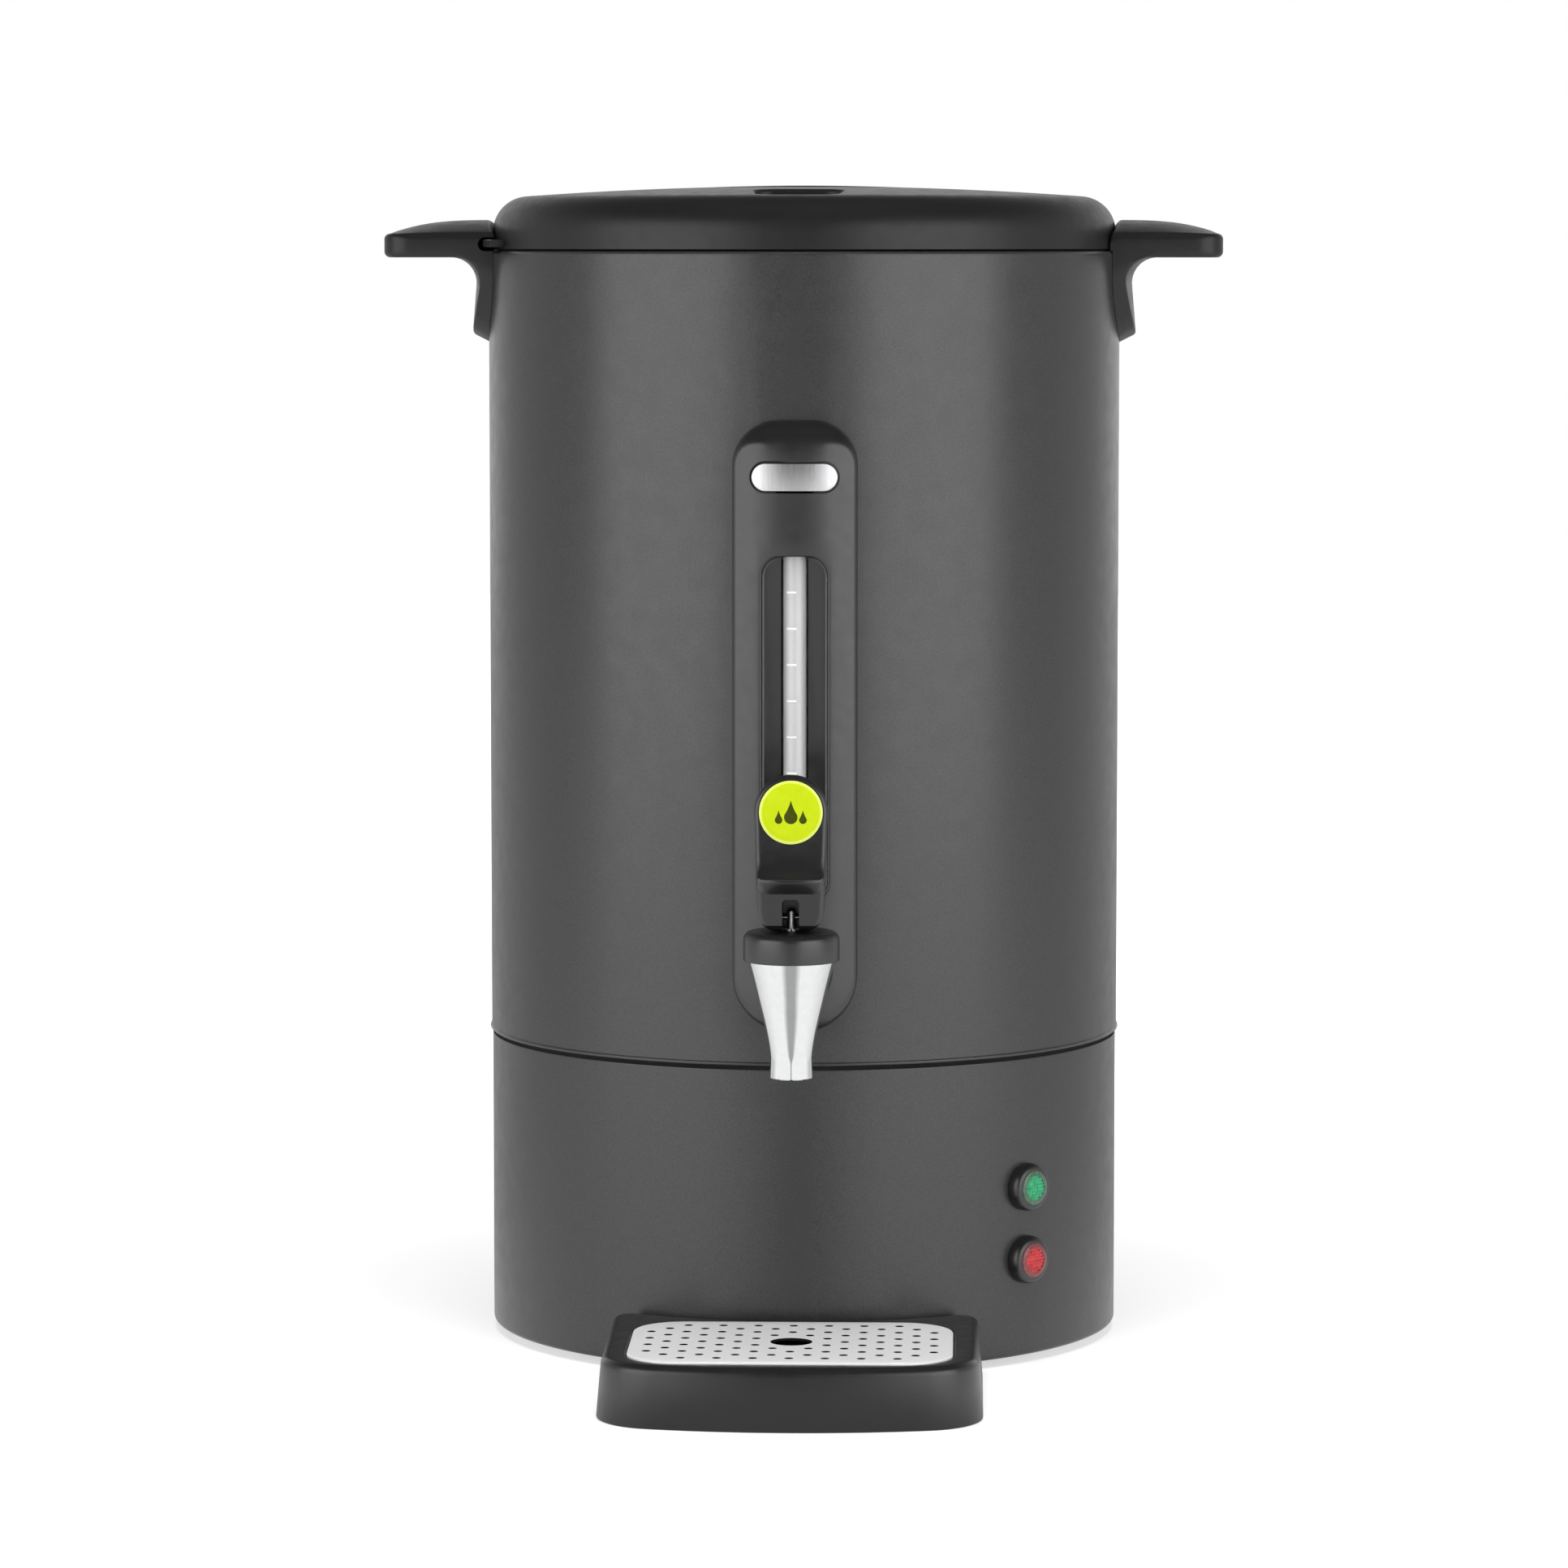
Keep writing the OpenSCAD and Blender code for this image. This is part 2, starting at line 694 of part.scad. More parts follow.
module base_shell() {
    inner = base_r - base_wall;
    edge = min(base_round, base_wall - slip);
    color([0.06, 0.06, 0.065]) difference() {
        union() {
            turned(concat(
                [[inner, base_clear]],
                arc([base_r - edge, base_clear + edge], edge, -90, 0),
                arc([base_r - base_step - slip, base_top - slip - base_step], slip + base_step, 0, 90, 4),
                [[spigot_r, base_top],
                 [spigot_r, base_top + spigot_h],
                 [spigot_r - base_wall, base_top + spigot_h],
                 [spigot_r - base_wall, base_top - base_wall],
                 [inner, base_top - 2 * base_wall]]
            ));
            for (a = [0 : 90 : 270]) rotate([0, 0, boss_angle + a])
                translate([inner - boss_d / 2 + over, 0, floor_top]) cylinder(d = boss_d, h = boss_h);
            switch_block(switch_w, switch_h, pad_margin, inner - base_wall, pad_y);
        }
        for (a = [0 : 90 : 270]) rotate([0, 0, boss_angle + a])
            translate([inner - boss_d / 2 + over, 0, floor_top - over])
                cylinder(d = floor_screw_d + 2 * seat, h = boss_h / 2);
        for (z = [upper_lamp_z, lower_lamp_z])
            radial(lamp_angle, inner - 2 * base_wall, z)
                cylinder(d = barrel_d + 2 * slip, h = 5 * base_wall);
        radial(rear, inner - 2 * base_wall, inlet_z) cylinder(d = inlet_d + 2 * slip, h = 5 * base_wall);
        switch_block(switch_w, switch_h, slip, inner - 3 * base_wall, pad_y + over);
    }
}

module bottom_plate() {
    r = base_r - base_wall - slip;
    color([0.62, 0.62, 0.64]) translate([0, 0, floor_z]) difference() {
        cylinder(r = r, h = floor_t, $fn = 180);
        translate([0, 0, -over]) {
            cylinder(d = rod_d + 2 * slip, h = floor_t + 2 * over);
            for (a = [45 : 90 : 315]) rotate([0, 0, a]) translate([body_r - foot_inset, 0, 0])
                cylinder(d = foot_stem_d + 2 * seat, h = floor_t + 2 * over);
            for (a = [0 : 90 : 270]) rotate([0, 0, boss_angle + a])
                translate([base_r - base_wall - boss_d / 2 + over, 0, 0])
                    cylinder(d = floor_screw_d + 2 * slip, h = floor_t + 2 * over);
            for (i = [0 : vent_count - 1]) rotate([0, 0, 360 * (i + 0.5) / vent_count])
                translate([vent_r, -floor_screw_d / 2, 0])
                    cube([vent_l, floor_screw_d, floor_t + 2 * over]);
        }
    }
}

module bottom_screws() {
    color("silver") for (a = [0 : 90 : 270]) rotate([0, 0, boss_angle + a])
        translate([base_r - base_wall - boss_d / 2 + over, 0, floor_z])
            pan_screw(floor_screw_d, boss_h / 3);
}

module feet() {
    r = foot_d / 2;
    stem = foot_stem_d / 2;
    edge = 1.2;
    color([0.09, 0.09, 0.09]) for (a = [45 : 90 : 315])
        rotate([0, 0, a]) translate([body_r - foot_inset, 0, 0])
            rotate_extrude() polygon([
                [0, 0], [r - edge, 0], [r, edge], [r - edge, floor_z], [stem, floor_z],
                [stem, floor_top + seat], [stem + edge, floor_top + seat],
                [stem - edge, floor_top + 3 * edge], [0, floor_top + 3 * edge]
            ]);
}

// Tank, heater and what holds them

module tank() {
    well_r = well_d / 2;
    bend_in = tank_bend - tank_wall;
    color([0.75, 0.76, 0.78]) difference() {
        turned(concat(
            [[0, well_z - tank_wall], [well_r, well_z - tank_wall], [well_r, tank_z - tank_wall]],
            arc([tank_or - tank_bend, tank_z - tank_wall + tank_bend], tank_bend, -90, 0),
            [[tank_or, jacket_top], [flange_r, jacket_top], [flange_r, rim_z], [tank_r, rim_z]],
            arc([tank_or - tank_bend, tank_z - tank_wall + tank_bend], bend_in, 0, -90),
            [[well_r - tank_wall, tank_z], [well_r - tank_wall, well_z], [0, well_z]]
        ));
        radial(front, tank_r - over - tank_bend, shank_z)
            cylinder(d = neck_d + 2 * slip, h = 2 * tank_bend);
    }
}

spreader_z = well_z - tank_wall - spreader_t;

module heater_plate() {
    color([0.7, 0.71, 0.72]) translate([0, 0, spreader_z]) cylinder(d = spreader_d, h = spreader_t);
}

module heater_element() {
    gap_angle = 30;
    tail_l = 16;
    color([0.45, 0.42, 0.4]) translate([0, 0, spreader_z - element_tube_d / 2 - seat]) {
        rotate([0, 0, gap_angle / 2]) rotate_extrude(angle = 360 - gap_angle)
            translate([element_d / 2, 0]) circle(d = element_tube_d, $fn = 48);
        for (a = [-gap_angle / 2, gap_angle / 2]) rotate([0, 0, a])
            translate([element_d / 2, 0, -tail_l]) cylinder(d = element_tube_d / 2, h = tail_l);
    }
}

// Disc sensor with two blade terminals, clipped under the heat spreader at x
module sensor(x, h) {
    blade_w = 6;
    blade_l = 8;
    translate([x, 0, spreader_z - h]) {
        cylinder(d = sensor_d, h = h);
        for (y = [-1, 1])
            translate([-blade_w / 2, y * sensor_d / 4 - slip, -blade_l])
                cube([blade_w, 2 * slip, blade_l + over]);
    }
}

module thermostat() {
    color([0.25, 0.22, 0.2]) sensor(sensor_offset, thermostat_h);
}

module thermal_cutout() {
    color([0.85, 0.84, 0.8]) sensor(-sensor_offset, cutout_h);
}

module clamp_rod() {
    foot = floor_z - rod_nut_h;
    color("silver") translate([0, 0, foot]) cylinder(d = rod_d, h = spreader_z - foot);
}

module clamp_nut() {
    color("silver") translate([0, 0, floor_z - rod_nut_h])
        hex_nut(rod_nut_af, rod_d + 2 * run, rod_nut_h);
}

module terminal_block() {
    size = [48, 20, 14];
    back = 75;
    poles = 3;
    pole_d = 5;
    pitch = size.x / poles;
    color([0.88, 0.87, 0.82]) translate([-size.x / 2, back, floor_top]) difference() {
        cube(size);
        for (i = [0 : poles - 1]) translate([pitch * (i + 0.5), -over, size.z / 3])
            rotate([-90, 0, 0]) cylinder(d = pole_d, h = size.y + 2 * over);
        for (i = [1 : poles - 1]) translate([pitch * i - over, -over, size.z / 2])
            cube([2 * over, size.y + 2 * over, size.z]);
    }
}

// Percolator

tube_top = rim_z - tube_drop;
basket_z = tube_top - tube_show - basket_h;
collar_h = 3;

module pump_tube() {
    r = tube_d / 2;
    bell = bell_d / 2;
    z = well_z + slip;
    edge = 2;
    color([0.75, 0.76, 0.78]) turned([
        [bell - tube_wall, z], [bell, z], [bell, z + edge], [r, z + bell_h],
        [r, basket_z - slip - collar_h], [r + collar_h, basket_z - slip],
        [r, basket_z - slip], [r, tube_top],
        [r - tube_wall, tube_top], [r - tube_wall, z + bell_h], [bell - tube_wall, z + edge]
    ]);
}

// Rings of holes through a disc between radii r0 and r1
module drain_rings(r0, r1, z, h) {
    rings = 3;
    for (k = [1 : rings]) let (r = r0 + (r1 - r0) * k / (rings + 1), n = 8 * (k + 1))
        for (i = [0 : n - 1]) rotate([0, 0, 360 * i / n]) translate([r, 0, z])
            cylinder(d = drain_d, h = h, $fn = 24);
}

module coffee_basket() {
    r = basket_d / 2;
    bore = tube_d / 2 + slip;
    sleeve = bore + basket_wall;
    color([0.75, 0.76, 0.78]) difference() {
        turned([
            [bore, basket_z], [r, basket_z], [r, basket_z + basket_h],
            [r - basket_wall, basket_z + basket_h],
            [r - basket_wall, basket_z + basket_wall], [sleeve, basket_z + basket_wall],
            [sleeve, basket_z + basket_h], [bore, basket_z + basket_h]
        ]);
        drain_rings(sleeve, r, basket_z - over, basket_wall + 2 * over);
    }
}

module basket_cover() {
    r = basket_d / 2;
    bore = tube_d / 2 + slip;
    z = basket_z + basket_h + seat;
    dish = 3;
    color([0.75, 0.76, 0.78]) difference() {
        turned([
            [bore, z], [r + 2 * basket_wall, z], [r + 2 * basket_wall, z + dish],
            [r + basket_wall, z + dish], [r + basket_wall, z + basket_wall], [bore, z + basket_wall]
        ]);
        drain_rings(bore, r, z - over, basket_wall + 2 * over);
    }
}

// Lid

// Outer form of the lid, set in by t and closed below
module lid_form(t) {
    turned(concat(
        [[0, lid_z - over], [lid_r - t, lid_z - over]],
        arc([shoulder_x, shoulder_z], shoulder_r - t, 0, shoulder_end),
        arc([0, dome_z], dome_r - t, shoulder_end, 90)
    ));
}

function pit_outline(g) = rounded(
    [[-pit_w_out / 2 - g, pit_y - g], [pit_w_out / 2 + g, pit_y - g],
     [pit_w_in / 2 + g, pit_y + pit_l + g], [-pit_w_in / 2 - g, pit_y + pit_l + g]],
    [for (i = [1 : 4]) pit_corner + g]
);

module lid_shell() {
    rib_w = seal_w - 2 * slip;
    rib_z = lid_z + seal_h + slip;
    rib_top = shoulder_z + sqrt(pow(shoulder_r - lid_wall / 2, 2) - pow(seal_r - shoulder_x, 2));
    grip_r = grip_d / 2;
    color([0.06, 0.06, 0.065]) difference() {
        union() {
            difference() {
                union() {
                    difference() {
                        lid_form(0);
                        translate([0, 0, -over]) lid_form(lid_wall);
                        translate([0, 0, lid_z - lid_h]) cylinder(r = lid_r + over, h = lid_h);
                    }
                    intersection() {
                        lid_form(lid_wall / 2);
                        translate([0, 0, cup_top]) cylinder(r = grip_r + cup_ring, h = lid_h);
                    }
                }
                translate([0, 0, lid_z]) cylinder(r = grip_r, h = 2 * lid_h);
            }
            intersection() {
                lid_form(lid_wall / 4);
                translate([-grip_r - over, -grip_bar_w / 2, cup_top + slip])
                    cube([2 * grip_r + 2 * over, grip_bar_w, lid_h]);
            }
            intersection() {
                lid_form(lid_wall / 2);
                translate([0, 0, pit_z - lid_wall]) linear_extrude(lid_h) polygon(pit_outline(lid_wall));
            }
            translate([0, 0, rib_z]) ring(seal_r + rib_w / 2, seal_r - rib_w / 2, rib_top - rib_z);
            for (side = [180, 0]) rotate([0, 0, side + lug_start]) rotate_extrude(angle = lug_span)
                translate([lid_r - lid_wall / 2, lug_z]) square([lug_r - lid_r + lid_wall / 2, lug_h]);
        }
        translate([0, 0, pit_z]) linear_extrude(lid_h) polygon(pit_outline(0));
        translate([0, pit_y + pit_l / 2, pit_z - 2 * lid_wall]) cylinder(d = vent_d, h = lid_h);
    }
}

module lid_grip_cup() {
    r = grip_d / 2;
    z = crest_z - grip_depth;
    outline = rounded(
        [[0, z - cup_wall], [r + cup_wall, z - cup_wall], [r + cup_wall, cup_top - cup_wall],
         [r + cup_ring, cup_top - cup_wall], [r + cup_ring, cup_top], [r, cup_top], [r, z], [0, z]],
        [0, cup_fillet + cup_wall, 0, 0, 0, 0, cup_fillet, 0]
    );
    color([0.06, 0.06, 0.065]) turned(outline);
}

module lid_seal() {
    edge = seal_h / 4;
    color([0.55, 0.55, 0.55]) turned(rounded(
        [[seal_r - seal_w / 2, lid_z], [seal_r + seal_w / 2, lid_z],
         [seal_r + seal_w / 2, lid_z + seal_h], [seal_r - seal_w / 2, lid_z + seal_h]],
        [edge, edge, edge, edge]
    ));
}

// Handles

// Handle on the +X side, with its bayonet slot open to the rear
module handle() {
    inner = body_r - jacket_lip;
    top = ridge_z + over;
    shield_r = handle_w / 2;
    grip_z = jacket_top - grip_drop;
    tip_low = 5;
    tip_high = 3;
    foot_round = 1.5;
    side = rounded(
        [[inner, bracket_z - over], [body_r, bracket_z],
         [body_r + bracket_foot_t, bracket_z + bracket_foot_t / 2],
         [body_r + bracket_t, grip_z], [handle_r, grip_z],
         [handle_r, ridge_z - tip_low], [handle_r - tip_low, top], [inner, top]],
        [0, 0, foot_round, grip_fillet, tip_low, tip_high, 0, 0]
    );
    plan = rounded(
        [[inner, -shield_r], [handle_r, -shield_r], [handle_r, shield_r], [inner, shield_r]],
        [0, grip_corner, grip_corner, 0]
    );
    shield = concat(
        arc([0, bracket_z + shield_r], shield_r, 180, 360, 24),
        [[shield_r, top], [-shield_r, top]]
    );
    difference() {
        intersection() {
            along_y(side, -shield_r - over, shield_r + over);
            translate([0, 0, bracket_z - over]) linear_extrude(top - bracket_z + 2 * over) polygon(plan);
            translate([handle_r, 0, 0]) along_x(shield, 4 * handle_reach);
            translate([body_r - ridge_set, 0, ridge_z - ridge_r]) rotate([90, 0, 0])
                rotate_extrude($fn = 180) {
                    translate([0, -crown_r]) square([ridge_r - crown_r, 2 * crown_r]);
                    intersection() {
                        translate([ridge_r - crown_r, 0]) circle(r = crown_r, $fn = 180);
                        translate([ridge_r - crown_r - over, -crown_r])
                            square([crown_r + 2 * over, 2 * crown_r]);
                    }
                }
        }
        translate([0, 0, bracket_z - 2 * over])
            cylinder(r = body_r + seat, h = rim_z - bracket_z + 2 * over, $fn = 180);
        translate([0, 0, rim_z - over]) cylinder(r = body_r - lid_step / 2, h = 2 * ridge_rise, $fn = 180);
        intersection() {
            translate([0, 0, slot_z]) cylinder(r = slot_r, h = slot_h, $fn = 180);
            translate([0, -slot_end, slot_z - over]) cube([2 * body_r, handle_w, slot_h + 2 * over]);
        }
        for (a = [-1, 1]) radial(a * handle_screw_angle, inner, handle_screw_z)
            cylinder(d = handle_screw_d + 2 * seat, h = jacket_lip + handle_screw_l);
    }
}

module right_handle() {
    color([0.06, 0.06, 0.065]) handle();
}

module left_handle() {
    color([0.06, 0.06, 0.065]) rotate([0, 0, 180]) handle();
}

module handle_screws() {
    head_r = head_ratio * handle_screw_d / 2;
    r = sqrt(pow(body_r - jacket_wall, 2) - pow(head_r, 2)) - seat;
    color("silver") for (side = [0, 180], a = [-1, 1])
        radial(side + a * handle_screw_angle, r, handle_screw_z)
            pan_screw(handle_screw_d, body_r - r + handle_screw_l - over);
}

// Level gauge

// Solid form of the gauge cover, set in by t
module cover_form(t) {
    end_r = cover_round - t / 2;
    intersection() {
        translate([0, cover_axis, 0]) rotate_extrude($fn = 180) polygon(rounded(
            [[0, cover_z + t], [cover_bow - t, cover_z + t],
             [cover_bow - t, cover_top - t], [0, cover_top - t]],
            [0, end_r, end_r, 0]
        ));
        along_y(panel(cover_w - 2 * t, cover_z + t, cover_top - t, cover_foot_r - t, cover_top_r - t),
                -(body_r + cover_proud + over), -tank_r);
    }
}

// Pill on the cover's front, grown by g, from depth t0 to height t1
module cover_badge_form(g, t0, t1) {
    low = badge_z - badge_h / 2 - g;
    high = badge_z + badge_h / 2 + g;
    end_r = badge_h / 2 - seat;
    intersection() {
        translate([0, cover_axis, badge_z - badge_h]) ring(cover_bow + t1, cover_bow - t0, 2 * badge_h);
        along_y(panel(badge_w + 2 * g, low, high, end_r, end_r), -(body_r + 2 * cover_proud), -body_r);
    }
}

// Outline of the window, set in by d
function window_outline(d) =
    panel(window_w - 2 * d, window_top - window_h + d, window_top - d, window_r - d, window_r - d);

// Room for the level glass: a slot in the window's floor and a bore in the walls at its ends
module glass_channel() {
    w = glass_d + 4 * slip;
    low = window_top - window_h;
    along_y(panel(w, low, window_top, 0, 0), -(body_r + cover_proud), -body_r);
    translate([0, gauge_y, low - 2 * cover_wall]) cylinder(d = w, h = window_h + 4 * cover_wall);
}

module gauge_cover() {
    boss_r = gauge_screw_d;
    color([0.06, 0.06, 0.065]) difference() {
        union() {
            difference() {
                cover_form(0);
                cover_form(cover_wall);
            }
            intersection() {
                cover_form(cover_wall / 2);
                union() {
                    for (x = [-1, 1])
                        translate([x * gauge_screw_x, -tank_r, gauge_screw_z]) rotate([90, 0, 0])
                            cylinder(r = boss_r, h = 3 * cover_proud);
                    along_y(window_outline(-cover_wall),
                            -(body_r + 2 * cover_proud), window_y + cover_wall);
                }
            }
        }
        translate([0, 0, cover_z - over]) cylinder(r = body_r + seat, h = cover_h + 2 * over, $fn = 180);
        along_y(window_outline(0), -(body_r + 2 * cover_proud), window_y);
        glass_channel();
        radial(front, body_r, shank_z) cylinder(d = shank_d + 2 * slip, h = 2 * cover_proud);
        cover_badge_form(seat, cover_wall / 3, cover_wall);
        for (x = [-1, 1])
            translate([x * gauge_screw_x, -tank_r, gauge_screw_z]) rotate([90, 0, 0])
                cylinder(d = gauge_screw_d + 2 * seat, h = body_r - tank_r + gauge_room / 2);
    }
}

module gauge_badge() {
    t0 = cover_wall / 3 - seat / 2;
    color([0.72, 0.72, 0.73]) cover_badge_form(0, t0, badge_t - t0);
}

module gauge_screws() {
    r = sqrt(pow(body_r - jacket_wall, 2) - pow(gauge_screw_x + gauge_screw_d, 2)) - seat;
    color("silver") for (x = [-1, 1])
        translate([x * gauge_screw_x, -r, gauge_screw_z]) rotate([90, 0, 0])
            pan_screw(gauge_screw_d, body_r - r + gauge_room / 3);
}

module gauge_glass() {
    color([0.85, 0.9, 0.92, 0.5]) translate([0, gauge_y, glass_z + gasket_t])
        ring(glass_d / 2, glass_d / 2 - glass_wall, glass_h);
}

module gauge_cap() {
    z = glass_z + gasket_t + glass_h;
    cap_h = 10;
    hold = 6;
    air_d = 2;
    color([0.09, 0.09, 0.09]) translate([0, gauge_y, z - hold]) difference() {
        cylinder(d = socket_d, h = cap_h);
        translate([0, 0, -over]) cylinder(d = glass_d + 2 * seat, h = hold + over + seat);
        cylinder(d = air_d, h = cap_h + over);
    }
}

module gauge_seal() {
    color([0.55, 0.55, 0.55]) translate([0, gauge_y, glass_z])
        ring(glass_d / 2, glass_d / 2 - glass_wall - seat, gasket_t - seat);
}

// Tap

function spout_outline() = let (n = 12, flare = 1.3, r0 = throat_d / 2, r1 = spout_top_d / 2) concat(
    [[0, spout_lip], [spout_lip_d / 2, spout_lip]],
    [for (i = [0 : n]) let (u = i / n)
        [r0 + (r1 - r0) * pow(u, flare), throat_z + (spout_top - throat_z) * u]],
    [[0, spout_top]]
);

module tap_body() {
    shoulder = tank_or + gasket_t + seat;
    neck_end = tank_r - shank_nut_h - 2 * gasket_t;
    color([0.78, 0.79, 0.8]) difference() {
        union() {
            translate([0, tap_y, 0]) rotate_extrude() polygon(spout_outline());
            radial(front, shoulder, shank_z) cylinder(d = shank_d, h = -tap_y - shoulder);
            radial(front, neck_end, shank_z) cylinder(d = neck_d, h = shoulder - neck_end + over);
            translate([0, gauge_y, shank_z]) cylinder(d = socket_d, h = shank_d / 2 + socket_h);
        }
        translate([0, tap_y, spout_lip - over]) cylinder(d = outlet_d, h = spout_top - spout_lip);
        translate([0, tap_y, valve_z]) cylinder(d = chamber_d, h = spout_top - valve_z + over);
        radial(front, neck_end - over, shank_z) cylinder(d = shank_bore_d, h = -tap_y - neck_end + over);
        translate([0, gauge_y, shank_z]) cylinder(d = glass_d - 2 * glass_wall, h = shank_d);
        translate([0, gauge_y, glass_z - seat]) cylinder(d = glass_d + 2 * slip, h = 2 * socket_h);
    }
}

module tap_bonnet() {
    r = bonnet_d / 2;
    bore = stem_d / 2 + run;
    plug_r = chamber_d / 2 - slip;
    color([0.06, 0.06, 0.065]) translate([0, tap_y, 0]) rotate_extrude() polygon(rounded(
        [[bore, plug_z], [plug_r, plug_z], [plug_r, spout_top],
         [r, spout_top], [r, bonnet_top], [bore, bonnet_top]],
        [0, 0, 0, bonnet_foot, bonnet_edge, 0]
    ));
}

module tap_stem() {
    stem_r = stem_d / 2;
    foot = valve_z + valve_h / 3;
    collar_r = chamber_d / 2 - collar_gap;
    eye = 2.4;
    top = pin_z + pin_d / 2 + eye;
    bevel = 0.6;
    color("silver") translate([0, tap_y, 0]) difference() {
        rotate_extrude() polygon([
            [0, foot], [stem_r, foot], [stem_r, collar_z],
            [collar_r, collar_z], [collar_r, collar_z + collar_t], [stem_r, collar_z + collar_t],
            [stem_r, top - bevel], [stem_r - bevel, top], [0, top]
        ]);
        translate([-stem_d, 0, pin_z]) rotate([0, 90, 0])
            cylinder(d = pin_d + 2 * run, h = 2 * stem_d, $fn = 48);
    }
}

module seat_cup() {
    r = valve_d / 2;
    z = valve_z + slip;
    hole = stem_d / 2 + run;
    floor = valve_z + valve_h / 3 - seat;
    taper = 2;
    color([0.5, 0.5, 0.48]) translate([0, tap_y, 0]) rotate_extrude() polygon([
        [0, z], [outlet_d / 2 - over, z - slip], [outlet_d / 2, z], [r, z], [r, z + valve_h / 3],
        [r - taper, z + valve_h], [hole, z + valve_h], [hole, floor], [0, floor]
    ]);
}

module tap_spring() {
    color("silver") translate([0, tap_y, 0])
        coil(spring_d, wire_d, spring_z + wire_d / 2, plug_z - wire_d / 2 - seat, spring_turns);
}

// Point of the heel where the lever, turned by a, bears on the bonnet
function heel_point(a) = let (rad = a * PI / 180, h = heel_drop + cam_lift * rad)
    [-h * sin(a) - cam_lift * cos(a), -h * cos(a) + cam_lift * sin(a)];

// Side view of the lever about its pin, as [y, z]
function lever_side() = let (
        lean = [sin(face_lean), cos(face_lean)],
        middle = [-face_reach, paddle_rise],
        face_margin = 2.8,
        face_low = middle - lean * (disc_d / 2 + face_margin),
        face_top = middle + lean * paddle_w,
        lip = [-lip_reach, lip_rise],
        lip_low = lip_rise - lip_h,
        scoop = [2, 4],
        back_dip = 6,
        n = 10
    ) concat(
        [[heel_reach, -heel_drop]],
        [for (i = [0 : n]) heel_point(cam_angle * i / n)],
        bend([-neck_reach, lip_low], [-lip_reach, lip_low], lip),
        bend(lip, [face_low.x - scoop.x, lip_rise + scoop.y], face_low),
        [face_top, face_top + [paddle_t, 0]],
        bend(middle + [paddle_t, 0], [heel_reach - back_dip, lip_rise], [heel_reach, 0])
    );

// Front view of the lever as [x, z], with the pin at z = 0
function lever_front() = let (
        half = [neck_w / 2, neck_top_w / 2],
        side = concat([[half[0], -pin_rise - over], [half[1], lip_rise - 1]],
                      arc([0, paddle_rise], paddle_w / 2, -20, 90, 24)),
        n = len(side)
    ) concat(side, [for (i = [n - 2 : -1 : 0]) [-side[i].x, side[i].y]]);

// What lies under the finger lip, whose lower edge is a half oval in the front view
function under_lip() = let (hw = neck_top_w / 2) concat(
    [for (p = arc([0, 0], 1, 180, 360, 2 * arc_steps)) [hw * p.x, lip_rise + lip_h * p.y]],
    [[paddle_w, lip_rise], [paddle_w, -pin_rise], [-paddle_w, -pin_rise], [-paddle_w, lip_rise]]
);

// Local +Z stands on the paddle's face, with its origin in the disc's middle
module lever_face() {
    translate([0, tap_y - face_reach, pin_z + paddle_rise]) rotate([90 - face_lean, 0, 0]) children();
}

module tap_lever() {
    depth = 2 * (lip_reach + heel_reach);
    color([0.06, 0.06, 0.065]) difference() {
        intersection() {
            translate([0, tap_y, pin_z]) along_x(lever_side(), 2 * paddle_w);
            translate([0, tap_y, pin_z]) along_y(lever_front(), -depth, depth);
        }
        translate([0, tap_y, pin_z]) {
            along_y(under_lip(), -depth, -neck_reach - seat);
            along_y(panel(lever_slot_w, -2 * pin_rise, lever_slot_rise, 0, lever_slot_r), -depth, depth);
            translate([-paddle_w, 0, 0]) rotate([0, 90, 0])
                cylinder(d = pin_d + 2 * run, h = 2 * paddle_w, $fn = 48);
        }
        lever_face() translate([0, 0, -disc_recess]) cylinder(d = disc_d + 2 * seat, h = 2 * disc_t);
    }
}

module lever_pin() {
    set_in = 1.5;
    l = neck_w - 2 * set_in;
    color("silver") translate([-l / 2, tap_y, pin_z]) rotate([0, 90, 0])
        cylinder(d = pin_d, h = l, $fn = 48);
}

module lever_badge() {
    color([0.62, 0.78, 0.1]) lever_face() translate([0, 0, seat - disc_recess])
        cylinder(d = disc_d, h = disc_t);
}

module shank_washer() {
    color([0.06, 0.06, 0.065]) radial(front, body_r + cover_proud + seat, shank_z)
        ring(washer_d / 2, shank_d / 2 + slip, washer_t);
}

module shank_gasket() {
    color([0.5, 0.5, 0.48]) radial(front, tank_or + seat, shank_z)
        ring(neck_d / 2 + gasket_w, neck_d / 2 + seat, gasket_t - seat);
}

inner_seat = sqrt(pow(tank_r, 2) - pow(neck_d / 2 + gasket_w, 2)) - seat;

module inner_gasket() {
    color([0.5, 0.5, 0.48]) radial(front, inner_seat - gasket_t, shank_z)
        ring(neck_d / 2 + gasket_w, neck_d / 2 + seat, gasket_t);
}

module shank_nut() {
    color("silver") radial(front, inner_seat - gasket_t - shank_nut_h, shank_z)
        hex_nut(shank_nut_af, neck_d + 2 * seat, shank_nut_h);
}

// Lamps, switch and supply inlet

// Depth below the base's surface at which a flat ring of radius r clears the inside of the wall
function wall_depth(r) = base_r - sqrt(pow(base_r - base_wall, 2) - r * r) + seat;

module bezel(z) {
    bore = lens_d / 2 + seat;
    r = bezel_d / 2;
    radial(lamp_angle, base_r, z) rotate_extrude() polygon(concat(
        [[bore, -barrel_l], [barrel_d / 2, -barrel_l], [barrel_d / 2, seat], [r, seat]],
        bend([r, bezel_side], [r, bezel_proud], [bore + bezel_bevel, bezel_proud]),
        [[bore, bezel_proud - bezel_bevel]]
    ));
}

